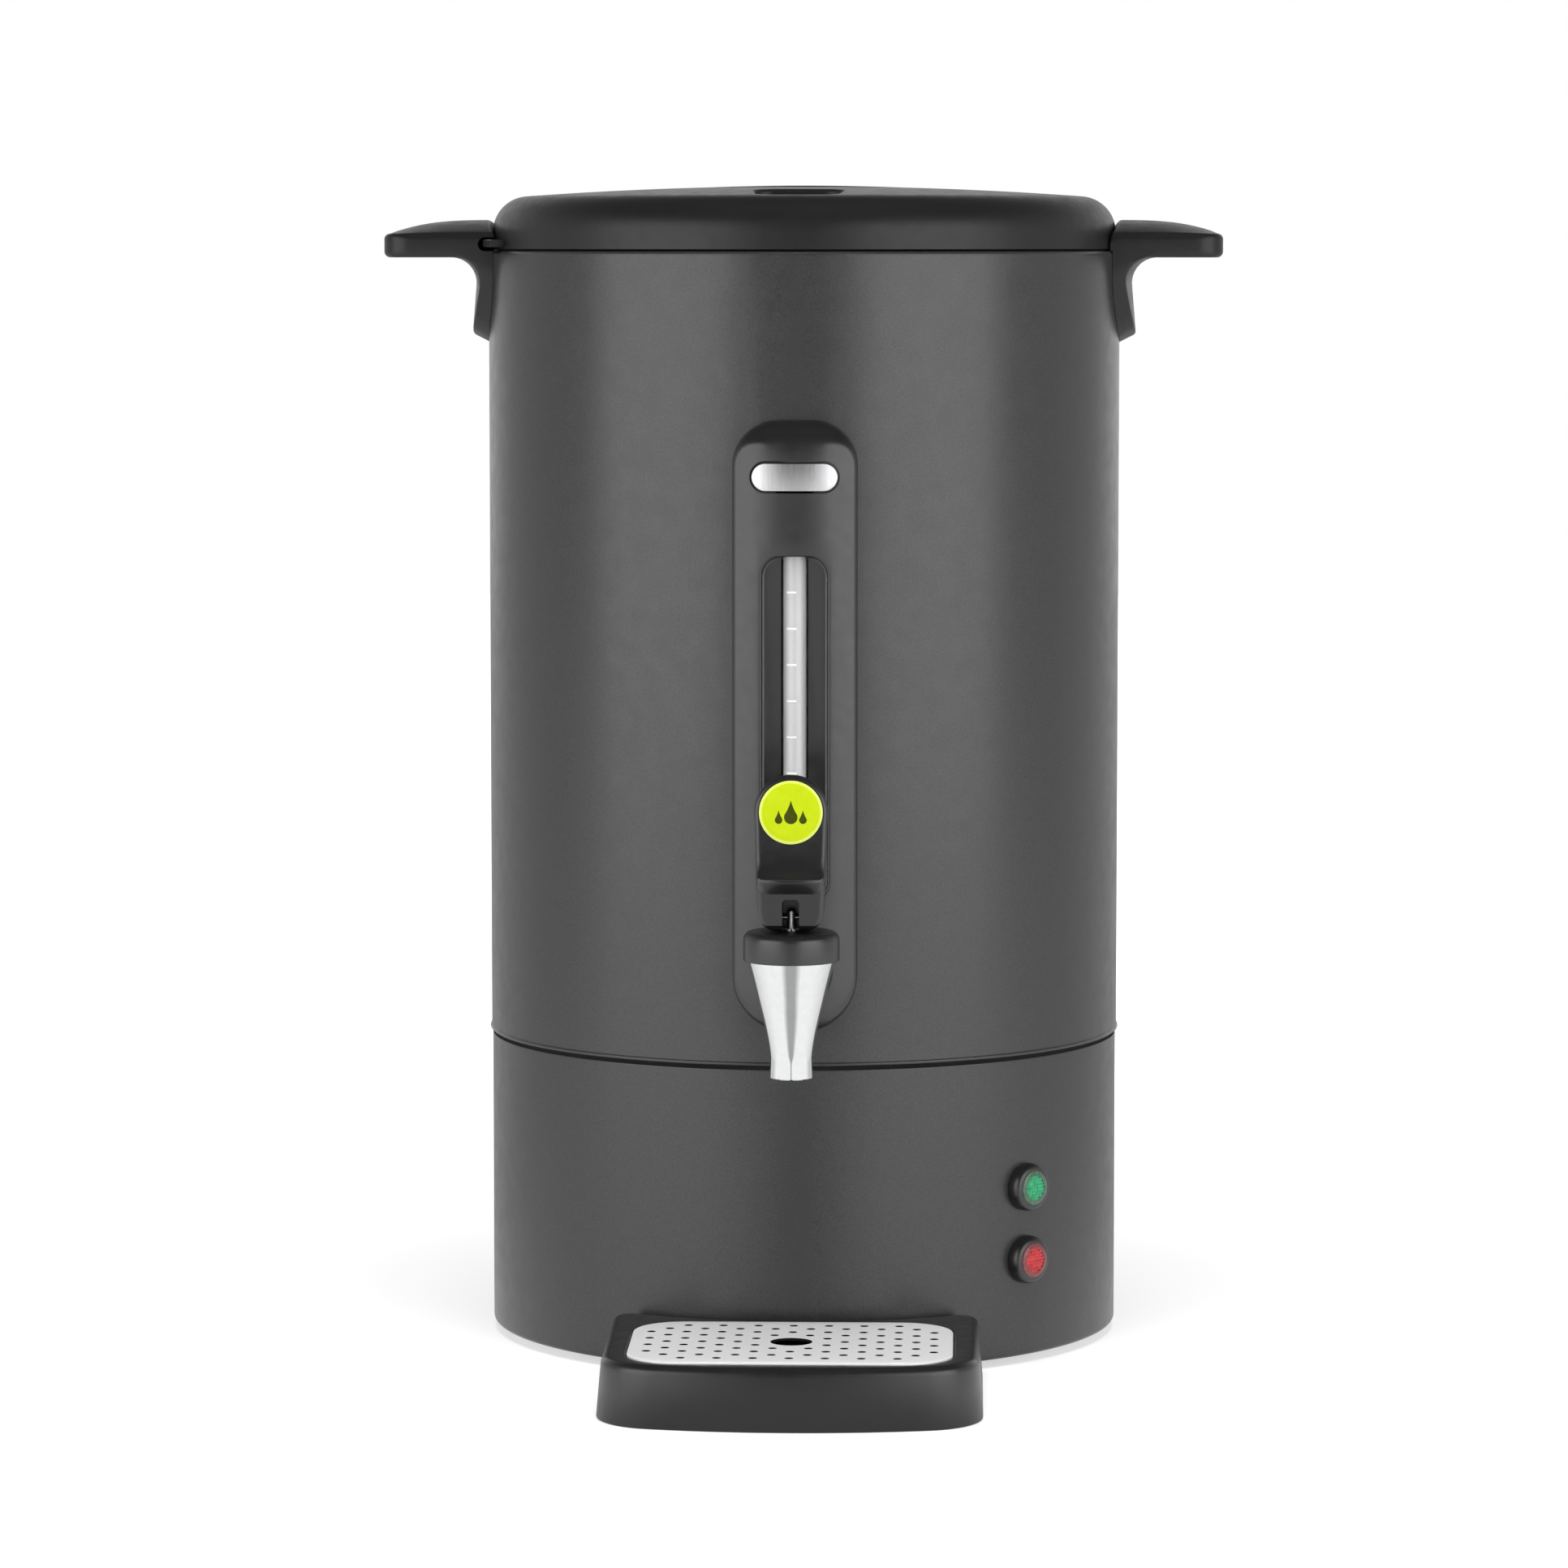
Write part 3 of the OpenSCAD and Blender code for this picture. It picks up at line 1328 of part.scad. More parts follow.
module lens(z) {
    r = lens_d / 2;
    radial(lamp_angle, base_r, z) rotate_extrude() polygon(concat(
        [[0, -barrel_l], [r, -barrel_l]],
        bend([r, bezel_proud - lens_dome], [r, bezel_proud], [0, bezel_proud])
    ));
}

module green_bezel() {
    color([0.06, 0.06, 0.065]) bezel(upper_lamp_z);
}

module green_lens() {
    color([0.15, 0.6, 0.2]) lens(upper_lamp_z);
}

module red_bezel() {
    color([0.06, 0.06, 0.065]) bezel(lower_lamp_z);
}

module red_lens() {
    color([0.7, 0.1, 0.08]) lens(lower_lamp_z);
}

module lamp_nuts() {
    nut_wall = 3;
    nut_r = barrel_d / 2 + nut_wall;
    nut_h = 3;
    color([0.15, 0.15, 0.15]) for (z = [upper_lamp_z, lower_lamp_z])
        radial(lamp_angle, base_r - wall_depth(nut_r) - nut_h, z) ring(nut_r, barrel_d / 2 + seat, nut_h);
}

rocker_proud = 0.5;
rocker_y = pad_y + rocker_proud;
pivot_d = 2.4;

module switch_frame() {
    flange_g = 2;
    flange_h = 1.6;
    color([0.1, 0.1, 0.1]) difference() {
        union() {
            switch_block(switch_w, switch_h, 0, pad_y - switch_depth, pad_y + seat);
            switch_block(switch_w, switch_h, flange_g, pad_y + seat, pad_y + seat + flange_h);
        }
        switch_block(rocker_w, rocker_h + 2 * window_gap, window_gap,
                     pad_y - switch_depth + box_wall, pad_y + switch_depth);
        translate([-switch_w, rocker_y - rocker_t, switch_z]) rotate([0, 90, 0])
            cylinder(d = pivot_d + 2 * run, h = 2 * switch_w, $fn = 48);
    }
}

module switch_rocker() {
    half = rocker_h / 2;
    dip = 1.2;
    stub = 0.8 * box_wall + window_gap;
    color([0.1, 0.1, 0.1]) translate([0, rocker_y - rocker_t, switch_z]) rotate([rocker_tilt, 0, 0]) {
        along_x([[rocker_t, half], [rocker_t - dip, 0], [rocker_t, -half], [0, -half],
                 [-rocker_t, -half / 3], [-rocker_t, half / 3], [0, half]], rocker_w);
        translate([-rocker_w / 2 - stub, 0, 0]) rotate([0, 90, 0])
            cylinder(d = pivot_d, h = rocker_w + 2 * stub, $fn = 48);
    }
}

module cord_gland() {
    r = inlet_d / 2;
    flange = r + 3.5;
    taper = 1;
    edge = 1.5;
    proud = 4;
    depth = 14;
    color([0.09, 0.09, 0.09]) radial(rear, base_r, inlet_z) rotate_extrude() polygon(rounded(
        [[inlet_bore_d / 2, -depth], [r, -depth], [r, seat], [flange, seat], [flange - taper, proud],
         [inlet_bore_d / 2, proud]],
        [0, 0, 0, 0, edge, 0]
    ));
}

module gland_nut() {
    nut_wall = 4;
    nut_af = inlet_d + 2 * nut_wall;
    nut_h = 5;
    color([0.15, 0.15, 0.15]) radial(rear, base_r - wall_depth(nut_af / 2 / cos(30)) - nut_h, inlet_z)
        hex_nut(nut_af, inlet_d + 2 * seat, nut_h);
}

// Drip tray

// Outline of the tray, set in by d: concave back, straight sides and a front that follows the body
function tray_outline(d) = let (
        hw = tray_w / 2 - d,
        back = tray_back + d,
        front_edge = tray_front - d,
        fr = tray_front_r - d,
        rr = tray_rear_r - d,
        fc = [hw - fr, -sqrt(pow(front_edge - fr, 2) - pow(hw - fr, 2))],
        rc = [hw - rr, -sqrt(pow(back + rr, 2) - pow(hw - rr, 2))],
        fa = atan2(fc.y, fc.x),
        ra = atan2(rc.y, rc.x),
        half = concat(
            arc([0, 0], front_edge, -90, fa, 6),
            arc(fc, fr, fa, 0),
            arc(rc, rr, 0, 180 + ra),
            arc([0, 0], back, ra, -90, 10)
        ),
        n = len(half)
    ) concat(half, [for (i = [n - 2 : -1 : 1]) [-half[i].x, half[i].y]]);

function tray_ring(d, z) = [for (p = tray_outline(d)) [p.x, p.y, z]];

// Outline of the perforated plate, grown by g
function plate_outline(g) = let (l = plate_l / 2 + g)
    [for (p = panel(plate_w + 2 * g, -l, l, plate_r + g, plate_r + g)) [p.x, p.y + plate_y]];

module drip_tray() {
    foot_edge = 1;
    rim = tray_h - tray_fillet;
    steps = 5;
    color([0.06, 0.06, 0.065]) difference() {
        skin(concat(
            [tray_ring(foot_edge, 0), tray_ring(0, foot_edge)],
            [for (i = [0 : steps]) let (a = 90 * i / steps)
                tray_ring(tray_draft + tray_fillet * (1 - cos(a)), rim + tray_fillet * sin(a))]
        ));
        translate([0, 0, ledge_z]) linear_extrude(tray_h) polygon(plate_outline(2 * slip));
        translate([0, 0, tray_floor]) linear_extrude(tray_h) polygon(plate_outline(-ledge_w));
    }
}

// True where a hole at p keeps the margin m to the plate's edge
function on_plate(p, m) = let (q = [abs(p.x), abs(p.y)], c = [plate_w, plate_l] / 2 - [plate_r, plate_r])
    q.x > c.x && q.y > c.y ? norm(q - c) < plate_r - m : q.x < c.x + plate_r - m && q.y < c.y + plate_r - m;

module drip_plate() {
    columns = ceil(plate_w / 2 / hole_pitch);
    rows = ceil(plate_l / 2 / hole_pitch);
    margin = ledge_w + hole_d / 2;
    color([0.7, 0.71, 0.72]) difference() {
        translate([0, 0, plate_top - plate_rim]) linear_extrude(plate_rim) polygon(plate_outline(0));
        translate([0, 0, plate_top - plate_rim - over]) linear_extrude(plate_rim + over - plate_t)
            polygon(plate_outline(-plate_t));
        translate([0, plate_y, plate_top - plate_rim]) {
            cylinder(d = finger_d, h = 2 * plate_rim);
            for (i = [-columns : columns], j = [-rows : rows]) let (p = hole_pitch * [i, j])
                if ((i + j) % 2 != 0 && norm(p) > finger_d / 2 + finger_margin && on_plate(p, margin))
                    translate([p.x, p.y, 0]) cylinder(d = hole_d, h = 2 * plate_rim, $fn = 24);
        }
    }
}

jacket();
base_shell();
bottom_plate();
bottom_screws();
feet();
tank();
heater_plate();
heater_element();
thermostat();
thermal_cutout();
clamp_rod();
clamp_nut();
terminal_block();
pump_tube();
coffee_basket();
basket_cover();
lid_shell();
lid_grip_cup();
lid_seal();
left_handle();
right_handle();
handle_screws();
gauge_cover();
gauge_badge();
gauge_screws();
gauge_glass();
gauge_cap();
gauge_seal();
tap_body();
tap_bonnet();
tap_stem();
seat_cup();
tap_spring();
tap_lever();
lever_pin();
lever_badge();
shank_washer();
shank_gasket();
inner_gasket();
shank_nut();
green_bezel();
green_lens();
red_bezel();
red_lens();
lamp_nuts();
switch_frame();
switch_rocker();
cord_gland();
gland_nut();
drip_tray();
drip_plate();
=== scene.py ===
import bisect
import math

import bmesh
import bpy
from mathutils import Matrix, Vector


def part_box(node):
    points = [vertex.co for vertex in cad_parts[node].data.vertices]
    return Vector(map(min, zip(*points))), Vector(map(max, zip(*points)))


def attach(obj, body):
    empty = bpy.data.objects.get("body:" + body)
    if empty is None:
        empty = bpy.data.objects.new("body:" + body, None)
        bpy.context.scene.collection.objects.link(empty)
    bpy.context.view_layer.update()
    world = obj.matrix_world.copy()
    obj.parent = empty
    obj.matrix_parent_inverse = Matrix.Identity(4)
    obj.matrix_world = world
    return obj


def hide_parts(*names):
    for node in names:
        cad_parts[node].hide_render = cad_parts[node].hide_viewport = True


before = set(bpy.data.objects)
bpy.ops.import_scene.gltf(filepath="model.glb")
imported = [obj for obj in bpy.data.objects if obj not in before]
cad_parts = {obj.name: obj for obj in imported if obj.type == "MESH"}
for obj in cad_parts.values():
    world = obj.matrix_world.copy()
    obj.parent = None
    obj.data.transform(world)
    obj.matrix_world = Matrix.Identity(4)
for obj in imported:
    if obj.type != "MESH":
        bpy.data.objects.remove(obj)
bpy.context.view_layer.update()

# Base housing and jacket: rolled sheet steel with a matt black powder coat.
# The coat is a fine hard grain over a faint orange peel. The jacket slips over
# the base's spigot, and its rolled hem leaves a narrow open seam. Inside the seam
# the base's coat is painted shade: near black and dull.
mm = 0.001
noise_low, noise_high = 0.3, 0.7


def shader(made):
    """The surface shader of a material."""
    return made.node_tree.nodes["Principled BSDF"]


def finish(name, **values):
    """New material; each value goes to the shader's socket of that name, with _ for a space."""
    made = bpy.data.materials.new(name)
    made.use_nodes = True
    for socket, value in values.items():
        shader(made).inputs[socket.replace("_", " ")].default_value = value
    return made


def feed(owner, value, target):
    """Give a socket a value, or the output of another node."""
    if isinstance(value, bpy.types.NodeSocket):
        owner.node_tree.links.new(value, target)
    else:
        target.default_value = value


def node(owner, kind, operation=None, **inputs):
    """New node; inputs go by the socket's name, or by _ and its number."""
    new = owner.node_tree.nodes.new(kind)
    if operation:
        new.operation = operation
    for socket, value in inputs.items():
        number = socket[1:]
        feed(owner, value, new.inputs[int(number) if number.isdigit() else socket.replace("_", " ")])
    return new


def ramped(owner, value, start, end, first=0, last=1):
    """Number that goes from first to last while a value goes from start to end."""
    return node(owner, "ShaderNodeMapRange", Value=value, From_Min=start, From_Max=end, To_Min=first,
                To_Max=last).outputs["Result"]


def own_place(made):
    """Where a point is on its own piece."""
    return node(made, "ShaderNodeTexCoord").outputs["Object"]


def speckle(made, grain, stretch=(1, 1, 1), detail=2):
    """Noise on the piece, with grains of that size in mm, longer where stretch is larger."""
    scale = [1 / (grain * mm * s) for s in stretch]
    spread = node(made, "ShaderNodeMapping", Vector=own_place(made), Scale=scale)
    noise = node(made, "ShaderNodeTexNoise", Vector=spread.outputs["Vector"], Scale=1, Detail=detail)
    return noise.outputs["Fac"]


def uneven(made, socket, pattern, low, high):
    """Let a number of the shader follow a pattern, from low to high."""
    feed(made, ramped(made, pattern, noise_low, noise_high, low, high), shader(made).inputs[socket])


def tint(made, pattern, dark, light):
    """Let the colour follow a pattern, from dark to light."""
    ramp = node(made, "ShaderNodeValToRGB", Fac=pattern)
    for stop, position, colour in zip(ramp.color_ramp.elements, (noise_low, noise_high), (dark, light)):
        stop.position = position
        stop.color = (*colour, 1)
    feed(made, ramp.outputs["Color"], shader(made).inputs["Base Color"])


def relief(made, pattern, depth):
    """Raise the surface by a pattern, up to that depth in mm, on top of any relief it has."""
    normal = shader(made).inputs["Normal"]
    bump = node(made, "ShaderNodeBump", Height=pattern, Distance=depth * mm, Strength=1)
    if normal.is_linked:
        feed(made, normal.links[0].from_socket, bump.inputs["Normal"])
    feed(made, bump.outputs["Normal"], normal)


def mottled(name, grain, colours, patch, rough, stretch=(1, 1, 1), detail=2, **values):
    """Material between two colours by grains, and two roughnesses by patches, of those sizes in mm."""
    made = finish(name, **values)
    tint(made, speckle(made, grain, stretch, detail), *colours)
    uneven(made, "Roughness", speckle(made, patch, stretch), *rough)
    return made


def faded(made, share, **values):
    """Let sockets of the shader go over to these values, as far as share says."""
    for socket, value in values.items():
        target = shader(made).inputs[socket.replace("_", " ")]
        mix = node(made, "ShaderNodeMix", _0=share)
        mix.data_type = "RGBA" if target.type == "RGBA" else "FLOAT"
        first, result = (6, 2) if target.type == "RGBA" else (2, 0)
        before = target.links[0].from_socket if target.is_linked else target.default_value
        feed(made, before, mix.inputs[first])
        mix.inputs[first + 1].default_value = value
        feed(made, mix.outputs[result], target)


def dress(made, *names):
    """Give these frame nodes that material."""
    for name in names:
        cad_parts[name].material_slots[0].material = made


def powder(name):
    """Powder coat: a fine hard grain over a faint orange peel."""
    made = mottled(name, grain=0.6, colours=((0.016, 0.016, 0.017), (0.04, 0.04, 0.041)), patch=9,
                   rough=(0.28, 0.34), Specular_IOR_Level=0.8)
    relief(made, speckle(made, 0.6), 0.03)
    relief(made, speckle(made, 5), 0.02)
    return made


dress(powder("powder_coat"), "jacket")
base_coat = powder("base_coat")
seam_z, seam_fade = 142.7 * mm, 0.3 * mm
base_z = node(base_coat, "ShaderNodeSeparateXYZ", Vector=own_place(base_coat)).outputs["Z"]
# Painted shade: above seam_z the base's coat goes near black and dull, for the shade in the open seam.
seam_painted_shade = ramped(base_coat, base_z, seam_z, seam_z + seam_fade)
faded(base_coat, seam_painted_shade, Base_Color=(0.003, 0.003, 0.003, 1), Roughness=1)
dress(base_coat, "base_shell")

# Bottom plate, feet, heater and wiring: what closes the urn from below and boils it.
# The plate is pressed steel with a satin rolled surface, the heat spreader is cast
# aluminium, the feet push into the plate, and the sensors and terminals are bakelite.
rolled = (60, 1, 1)
satin_steel = mottled("satin_steel", grain=0.5, colours=((0.5, 0.5, 0.51), (0.6, 0.6, 0.61)), patch=0.3,
                      rough=(0.26, 0.38), stretch=rolled, Metallic=1)
dress(satin_steel, "bottom_plate")

zinc = mottled("zinc", grain=2, colours=((0.55, 0.55, 0.57), (0.68, 0.68, 0.7)), patch=0.8,
               rough=(0.2, 0.32), Metallic=1)
dress(zinc, "bottom_screws", "clamp_rod", "clamp_nut", "handle_screws", "gauge_screws", "shank_nut")

cast = mottled("cast_aluminium", grain=1.5, colours=((0.5, 0.5, 0.5), (0.62, 0.62, 0.62)), patch=3,
               rough=(0.4, 0.52), detail=4, Metallic=1)
relief(cast, speckle(cast, 0.6), 0.03)
dress(cast, "heater_plate")

scaled = mottled("element_tube", grain=6, colours=((0.22, 0.19, 0.17), (0.42, 0.4, 0.38)), patch=1,
                 rough=(0.36, 0.5), detail=4, Metallic=1)
dress(scaled, "heater_element")

rubber = mottled("rubber", grain=1, colours=((0.018, 0.018, 0.018), (0.03, 0.03, 0.03)), patch=3,
                 rough=(0.62, 0.78))
relief(rubber, speckle(rubber, 0.4), 0.01)
dress(rubber, "feet", "gauge_cap")

bakelite = mottled("bakelite", grain=2, colours=((0.5, 0.46, 0.36), (0.6, 0.56, 0.44)), patch=5,
                   rough=(0.35, 0.46))
dress(bakelite, "terminal_block", "thermostat", "thermal_cutout")

# Tank and percolator: stainless sheet, spun on a lathe, so fine rings run round it.
# The tank hangs by its flange on the jacket's lip; the pump tube stands in the well
# and carries the coffee basket and its spreader. The seals are grey silicone.
# The flange's outer edge, in the gap under the lid, is painted shade: black and dull.


def lathe_place(made):
    """Radius and height of a point about the urn's axis."""
    spot = node(made, "ShaderNodeSeparateXYZ", Vector=own_place(made))
    flat = node(made, "ShaderNodeCombineXYZ", X=spot.outputs["X"], Y=spot.outputs["Y"])
    radius = node(made, "ShaderNodeVectorMath", "LENGTH", _0=flat.outputs["Vector"])
    return radius.outputs["Value"], spot.outputs["Z"]


def spun(made, grain):
    """Noise that only changes with radius and height, as the marks of a lathe do."""
    radius, height = lathe_place(made)
    ringed = node(made, "ShaderNodeCombineXYZ", X=radius, Z=height).outputs["Vector"]
    noise = node(made, "ShaderNodeTexNoise", Vector=ringed, Scale=1 / (grain * mm), Detail=2)
    return noise.outputs["Fac"]


def spun_sheet(name):
    """Stainless sheet, spun on a lathe."""
    made = finish(name, Metallic=1)
    tint(made, spun(made, 1.5), (0.56, 0.56, 0.56), (0.66, 0.66, 0.66))
    uneven(made, "Roughness", spun(made, 0.6), 0.2, 0.36)
    relief(made, spun(made, 0.8), 0.006)
    return made


dress(spun_sheet("spun_steel"), "pump_tube", "coffee_basket", "basket_cover")
tank_steel = spun_sheet("tank_steel")
# Painted shade: the flange's outermost rim turns black, matt and not metallic, for the shade in the seam
# under the lid.
flange_shade_width, rim_fade = 1.4 * mm, 0.3 * mm
flange_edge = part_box("tank")[1].x - flange_shade_width
flange_painted_shade = ramped(tank_steel, lathe_place(tank_steel)[0], flange_edge, flange_edge + rim_fade)
faded(tank_steel, flange_painted_shade, Base_Color=(0.004, 0.004, 0.004, 1), Metallic=0, Roughness=1)
dress(tank_steel, "tank")

silicone = mottled("silicone", grain=2, colours=((0.2, 0.2, 0.2), (0.26, 0.26, 0.26)), patch=4,
                   rough=(0.5, 0.62))
dress(silicone, "lid_seal", "gauge_seal", "seat_cup", "shank_gasket", "inner_gasket")

# Lid: one injection moulding in black satin plastic, slightly glossier than the coat.
# A bar spans the finger recess, whose cup is a second moulding; two lugs on the skirt
# turn under the handles, and steam leaves by the pit at the front.


def arc(centre, radius, start, end, steps=8):
    """Points of an arc between two angles in degrees, both ends included."""
    turns = [math.radians(start + (end - start) * i / steps) for i in range(steps + 1)]
    return [(centre[0] + radius * math.cos(a), centre[1] + radius * math.sin(a)) for a in turns]


def between(first, last, parts):
    """Evenly spaced numbers from first to last, both included."""
    return [first + (last - first) * i / parts for i in range(parts + 1)]


def walls(shape, loops, ring=False):
    """Skin a mesh over loops of equally many points in mm; ring joins the last loop to the first."""
    rows = [[shape.verts.new(Vector(p) * mm) for p in loop] for loop in loops]
    for near, far in zip(rows, rows[1:] + rows[:1] if ring else rows[1:]):
        for i in range(len(near)):
            shape.faces.new((near[i - 1], near[i], far[i], far[i - 1]))
    return rows


def added(name, data):
    """New object in the scene."""
    new = bpy.data.objects.new(name, data)
    bpy.context.scene.collection.objects.link(new)
    return new


def placed(name, shape):
    """Put a closed mesh into the scene as a piece."""
    bmesh.ops.recalc_face_normals(shape, faces=shape.faces)
    mesh = bpy.data.meshes.new(name)
    shape.to_mesh(mesh)
    shape.free()
    return added(name, mesh)


def skin(name, loops, ring=False):
    """Piece skinned over loops, closed by its end loops or to a ring."""
    shape = bmesh.new()
    rows = walls(shape, loops, ring)
    if not ring:
        shape.faces.new(rows[0])
        shape.faces.new(rows[-1])
    bmesh.ops.remove_doubles(shape, verts=shape.verts, dist=1e-7)
    return placed(name, shape)


def swept(outline, turn, y=0):
    """Outline of radius and height, turned by an angle about an upright axis at y."""
    return [(r * math.cos(turn), y + r * math.sin(turn), z) for r, z in outline]


def turned(name, outline, y=0, steps=240):
    """Piece turned round an upright axis at y from an outline of radius and height."""
    return skin(name, [swept(outline, 2 * math.pi * i / steps, y) for i in range(steps)], ring=True)


def shaped(piece, operation, *tools):
    """Cut tools out of a piece, or join them to it, and clear the tools away."""
    for tool in tools:
        step = piece.modifiers.new("tool", "BOOLEAN")
        step.operation = operation
        step.solver = "EXACT"
        step.object = tool
    result = bpy.data.meshes.new_from_object(piece.evaluated_get(bpy.context.evaluated_depsgraph_get()))
    piece.modifiers.clear()
    piece.data = result
    for tool in tools:
        bpy.data.objects.remove(tool)


def fit(piece, made, body, finish_slot, *nodes, crease=32):
    """Dress and smooth a piece, and mount it on its body in place of those nodes."""
    piece.data.materials.append(made)
    piece.data.shade_smooth()
    piece.data.set_sharp_from_angle(angle=math.radians(crease))
    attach(piece, body)
    if nodes:
        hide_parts(*nodes)


def moulding(name, rough, gloss):
    """Black plastic with the fine grain of its mould."""
    made = mottled(name, grain=0.35, colours=((0.007, 0.007, 0.0075), (0.011, 0.011, 0.0115)), patch=6,
                   rough=rough, Specular_IOR_Level=gloss)
    relief(made, speckle(made, 0.35), 0.006)
    return made


moulded = moulding("moulded_black", (0.36, 0.43), 0.5)
lid_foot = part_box("lid_shell")[0].z / mm
lid_r, lid_wall = 148, 2.6
crest = lid_foot + 29.3
dome_r, shoulder_r = 1820, 17
grip_r, grip_edge = 46, 1.4
cup_top, cup_ring_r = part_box("lid_grip_cup")[1].z / mm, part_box("lid_grip_cup")[1].x / mm
shoulder_x = lid_r - shoulder_r
shoulder_z = crest - dome_r + math.sqrt((dome_r - shoulder_r) ** 2 - shoulder_x ** 2)
shoulder_end = math.degrees(math.atan2(shoulder_z - crest + dome_r, shoulder_x))
dome_out = shoulder_x - 4
skirt_edge = 0.4
drip_in, drip_low = 146.4, lid_foot - 0.6


def dome(r, set_in=0):
    """Height of the lid's dome at a radius, on its outside or set in from it."""
    return crest - dome_r + math.sqrt((dome_r - set_in) ** 2 - r * r)


skirt = [(drip_in, lid_foot), (drip_in, drip_low), (lid_r - skirt_edge, drip_low),
         (lid_r, drip_low + skirt_edge)]
lid = turned("lid", skirt + arc((shoulder_x, shoulder_z), shoulder_r, 0, shoulder_end, 20)
             + [(r, dome(r)) for r in between(dome_out, grip_r + 2 * grip_edge, 10)]
             + arc((grip_r + grip_edge, dome(grip_r + grip_edge) - grip_edge), grip_edge, 90, 180, 5)
             + [(grip_r, cup_top), (cup_ring_r, cup_top), (cup_ring_r, dome(cup_ring_r, lid_wall))]
             + [(r, dome(r, lid_wall)) for r in between(cup_ring_r + 8, dome_out, 6)]
             + arc((shoulder_x, shoulder_z), shoulder_r - lid_wall, shoulder_end, 0, 12)
             + [(lid_r - lid_wall, lid_foot)])

bar_half, bar_edge, bar_rise, bar_sunk = 12, 2.2, 0.28, 0.8
bar_low = cup_top + 0.3


def bar_section(x):
    """Section of the bar across the finger recess, rounded more above than below."""
    top = dome(abs(x)) + bar_rise * (1 - (x / grip_r) ** 2)
    side, low_edge = bar_half - bar_edge, bar_edge / 2
    low_side = bar_half - low_edge
    outline = (arc((side, top - bar_edge), bar_edge, 0, 90) + arc((-side, top - bar_edge), bar_edge, 90, 180)
               + arc((-low_side, bar_low + low_edge), low_edge, 180, 270, 5)
               + arc((low_side, bar_low + low_edge), low_edge, 270, 360, 5))
    return [(x, y, z) for y, z in outline]


grip_bar = skin("grip_bar", [bar_section(x) for x in between(-grip_r - bar_sunk, grip_r + bar_sunk, 12)])

seal_r, rib_half = 142, 1.5
rib_low = lid_foot + 2.9
rib_high = shoulder_z + math.sqrt((shoulder_r - lid_wall / 2) ** 2 - (seal_r - shoulder_x) ** 2)
seal_rib = turned("seal_rib", [(seal_r - rib_half, rib_low), (seal_r + rib_half, rib_low),
                               (seal_r + rib_half, rib_high), (seal_r - rib_half, rib_high)], steps=233)

lug_r, lug_edge = 155, 0.7
lug_low = lid_foot + 0.6
lug_high = lug_low + 3.5
lug_start, lug_span = 14.19, 6


def lug(name, side):
    """Bayonet lug on the skirt, on the side that faces that angle."""
    root = lid_r - lid_wall / 2
    section = ([(root, lug_low)] + arc((lug_r - lug_edge, lug_low + lug_edge), lug_edge, 270, 360, 4)
               + arc((lug_r - lug_edge, lug_high - lug_edge), lug_edge, 0, 90, 4) + [(root, lug_high)])
    return skin(name, [swept(section, math.radians(side + lug_start + a)) for a in between(0, lug_span, 6)])


pit_front, pit_back = -131, -85
pit_half_front, pit_half_back = 17.5, 21.5
pit_corner, pit_edge, pit_depth = 9, 1.6, 6
pit_floor = crest - pit_front ** 2 / (2 * dome_r) - pit_depth
vent_r = 2.5


def rounded(points, radii, steps=8):
    """Outline through the points, each corner rounded by its radius."""
    outline = []
    for i, radius in enumerate(radii):
        here = Vector(points[i])
        back = (Vector(points[i - 1]) - here).normalized()
        on = (Vector(points[(i + 1) % len(points)]) - here).normalized()
        half = back.angle(on) / 2
        centre = here + (back + on).normalized() * (radius / math.sin(half))
        first = here + back * (radius / math.tan(half)) - centre
        last = here + on * (radius / math.tan(half)) - centre
        start = math.degrees(math.atan2(first.y, first.x))
        swing = (math.degrees(math.atan2(last.y, last.x)) - start + 180) % 360 - 180
        outline += arc(centre, radius, start, start + swing, steps)
    return outline


def pit(grow):
    """Outline of the steam pit, grown by that much."""
    return rounded([(-pit_half_front - grow, pit_front - grow), (pit_half_front + grow, pit_front - grow),
                    (pit_half_back + grow, pit_back + grow), (-pit_half_back - grow, pit_back + grow)],
                   [pit_corner + grow] * 4)


def pit_loop(grow, height=None, rise=0):
    """Loop of the pit at a height, or at a rise above the dome."""
    return [(x, y, dome(math.hypot(x, y)) + rise if height is None else height) for x, y in pit(grow)]


def rounding(radius, steps=6):
    """Setback and drop of points round an edge of that radius, from its side to its face."""
    return [(radius * (1 - math.cos(a)), radius * (1 - math.sin(a))) for a in between(0, math.pi / 2, steps)]


pit_boss = skin("pit_boss", [pit_loop(lid_wall, pit_floor - lid_wall),
                             pit_loop(lid_wall, rise=-lid_wall / 2)])
pit_tool = skin("pit_tool",
                [pit_loop(-back, pit_floor + down) for back, down in reversed(rounding(pit_edge, 3))]
                + [pit_loop(pit_edge * (1 - math.cos(a)), rise=pit_edge * (math.sin(a) - 1))
                   for a in (0, 0.3, 0.6, 0.9, 1.2, 1.4)]
                + [pit_loop(1.3 * pit_edge, rise=pit_edge)])
vent = arc((0, (pit_front + pit_back) / 2), vent_r, 0, 345, 23)
vent_tool = skin("vent_tool", [[(x, y, z) for x, y in vent]
                               for z in (pit_floor - 3 * lid_wall, pit_floor + 1)])
shaped(lid, "UNION", grip_bar, seal_rib, lug("lug_a", 0), lug("lug_b", 180), pit_boss)
shaped(lid, "DIFFERENCE", pit_tool, vent_tool)
fit(lid, moulded, "lid", "moulded_black", "lid_shell")
dress(moulded, "lid_grip_cup")

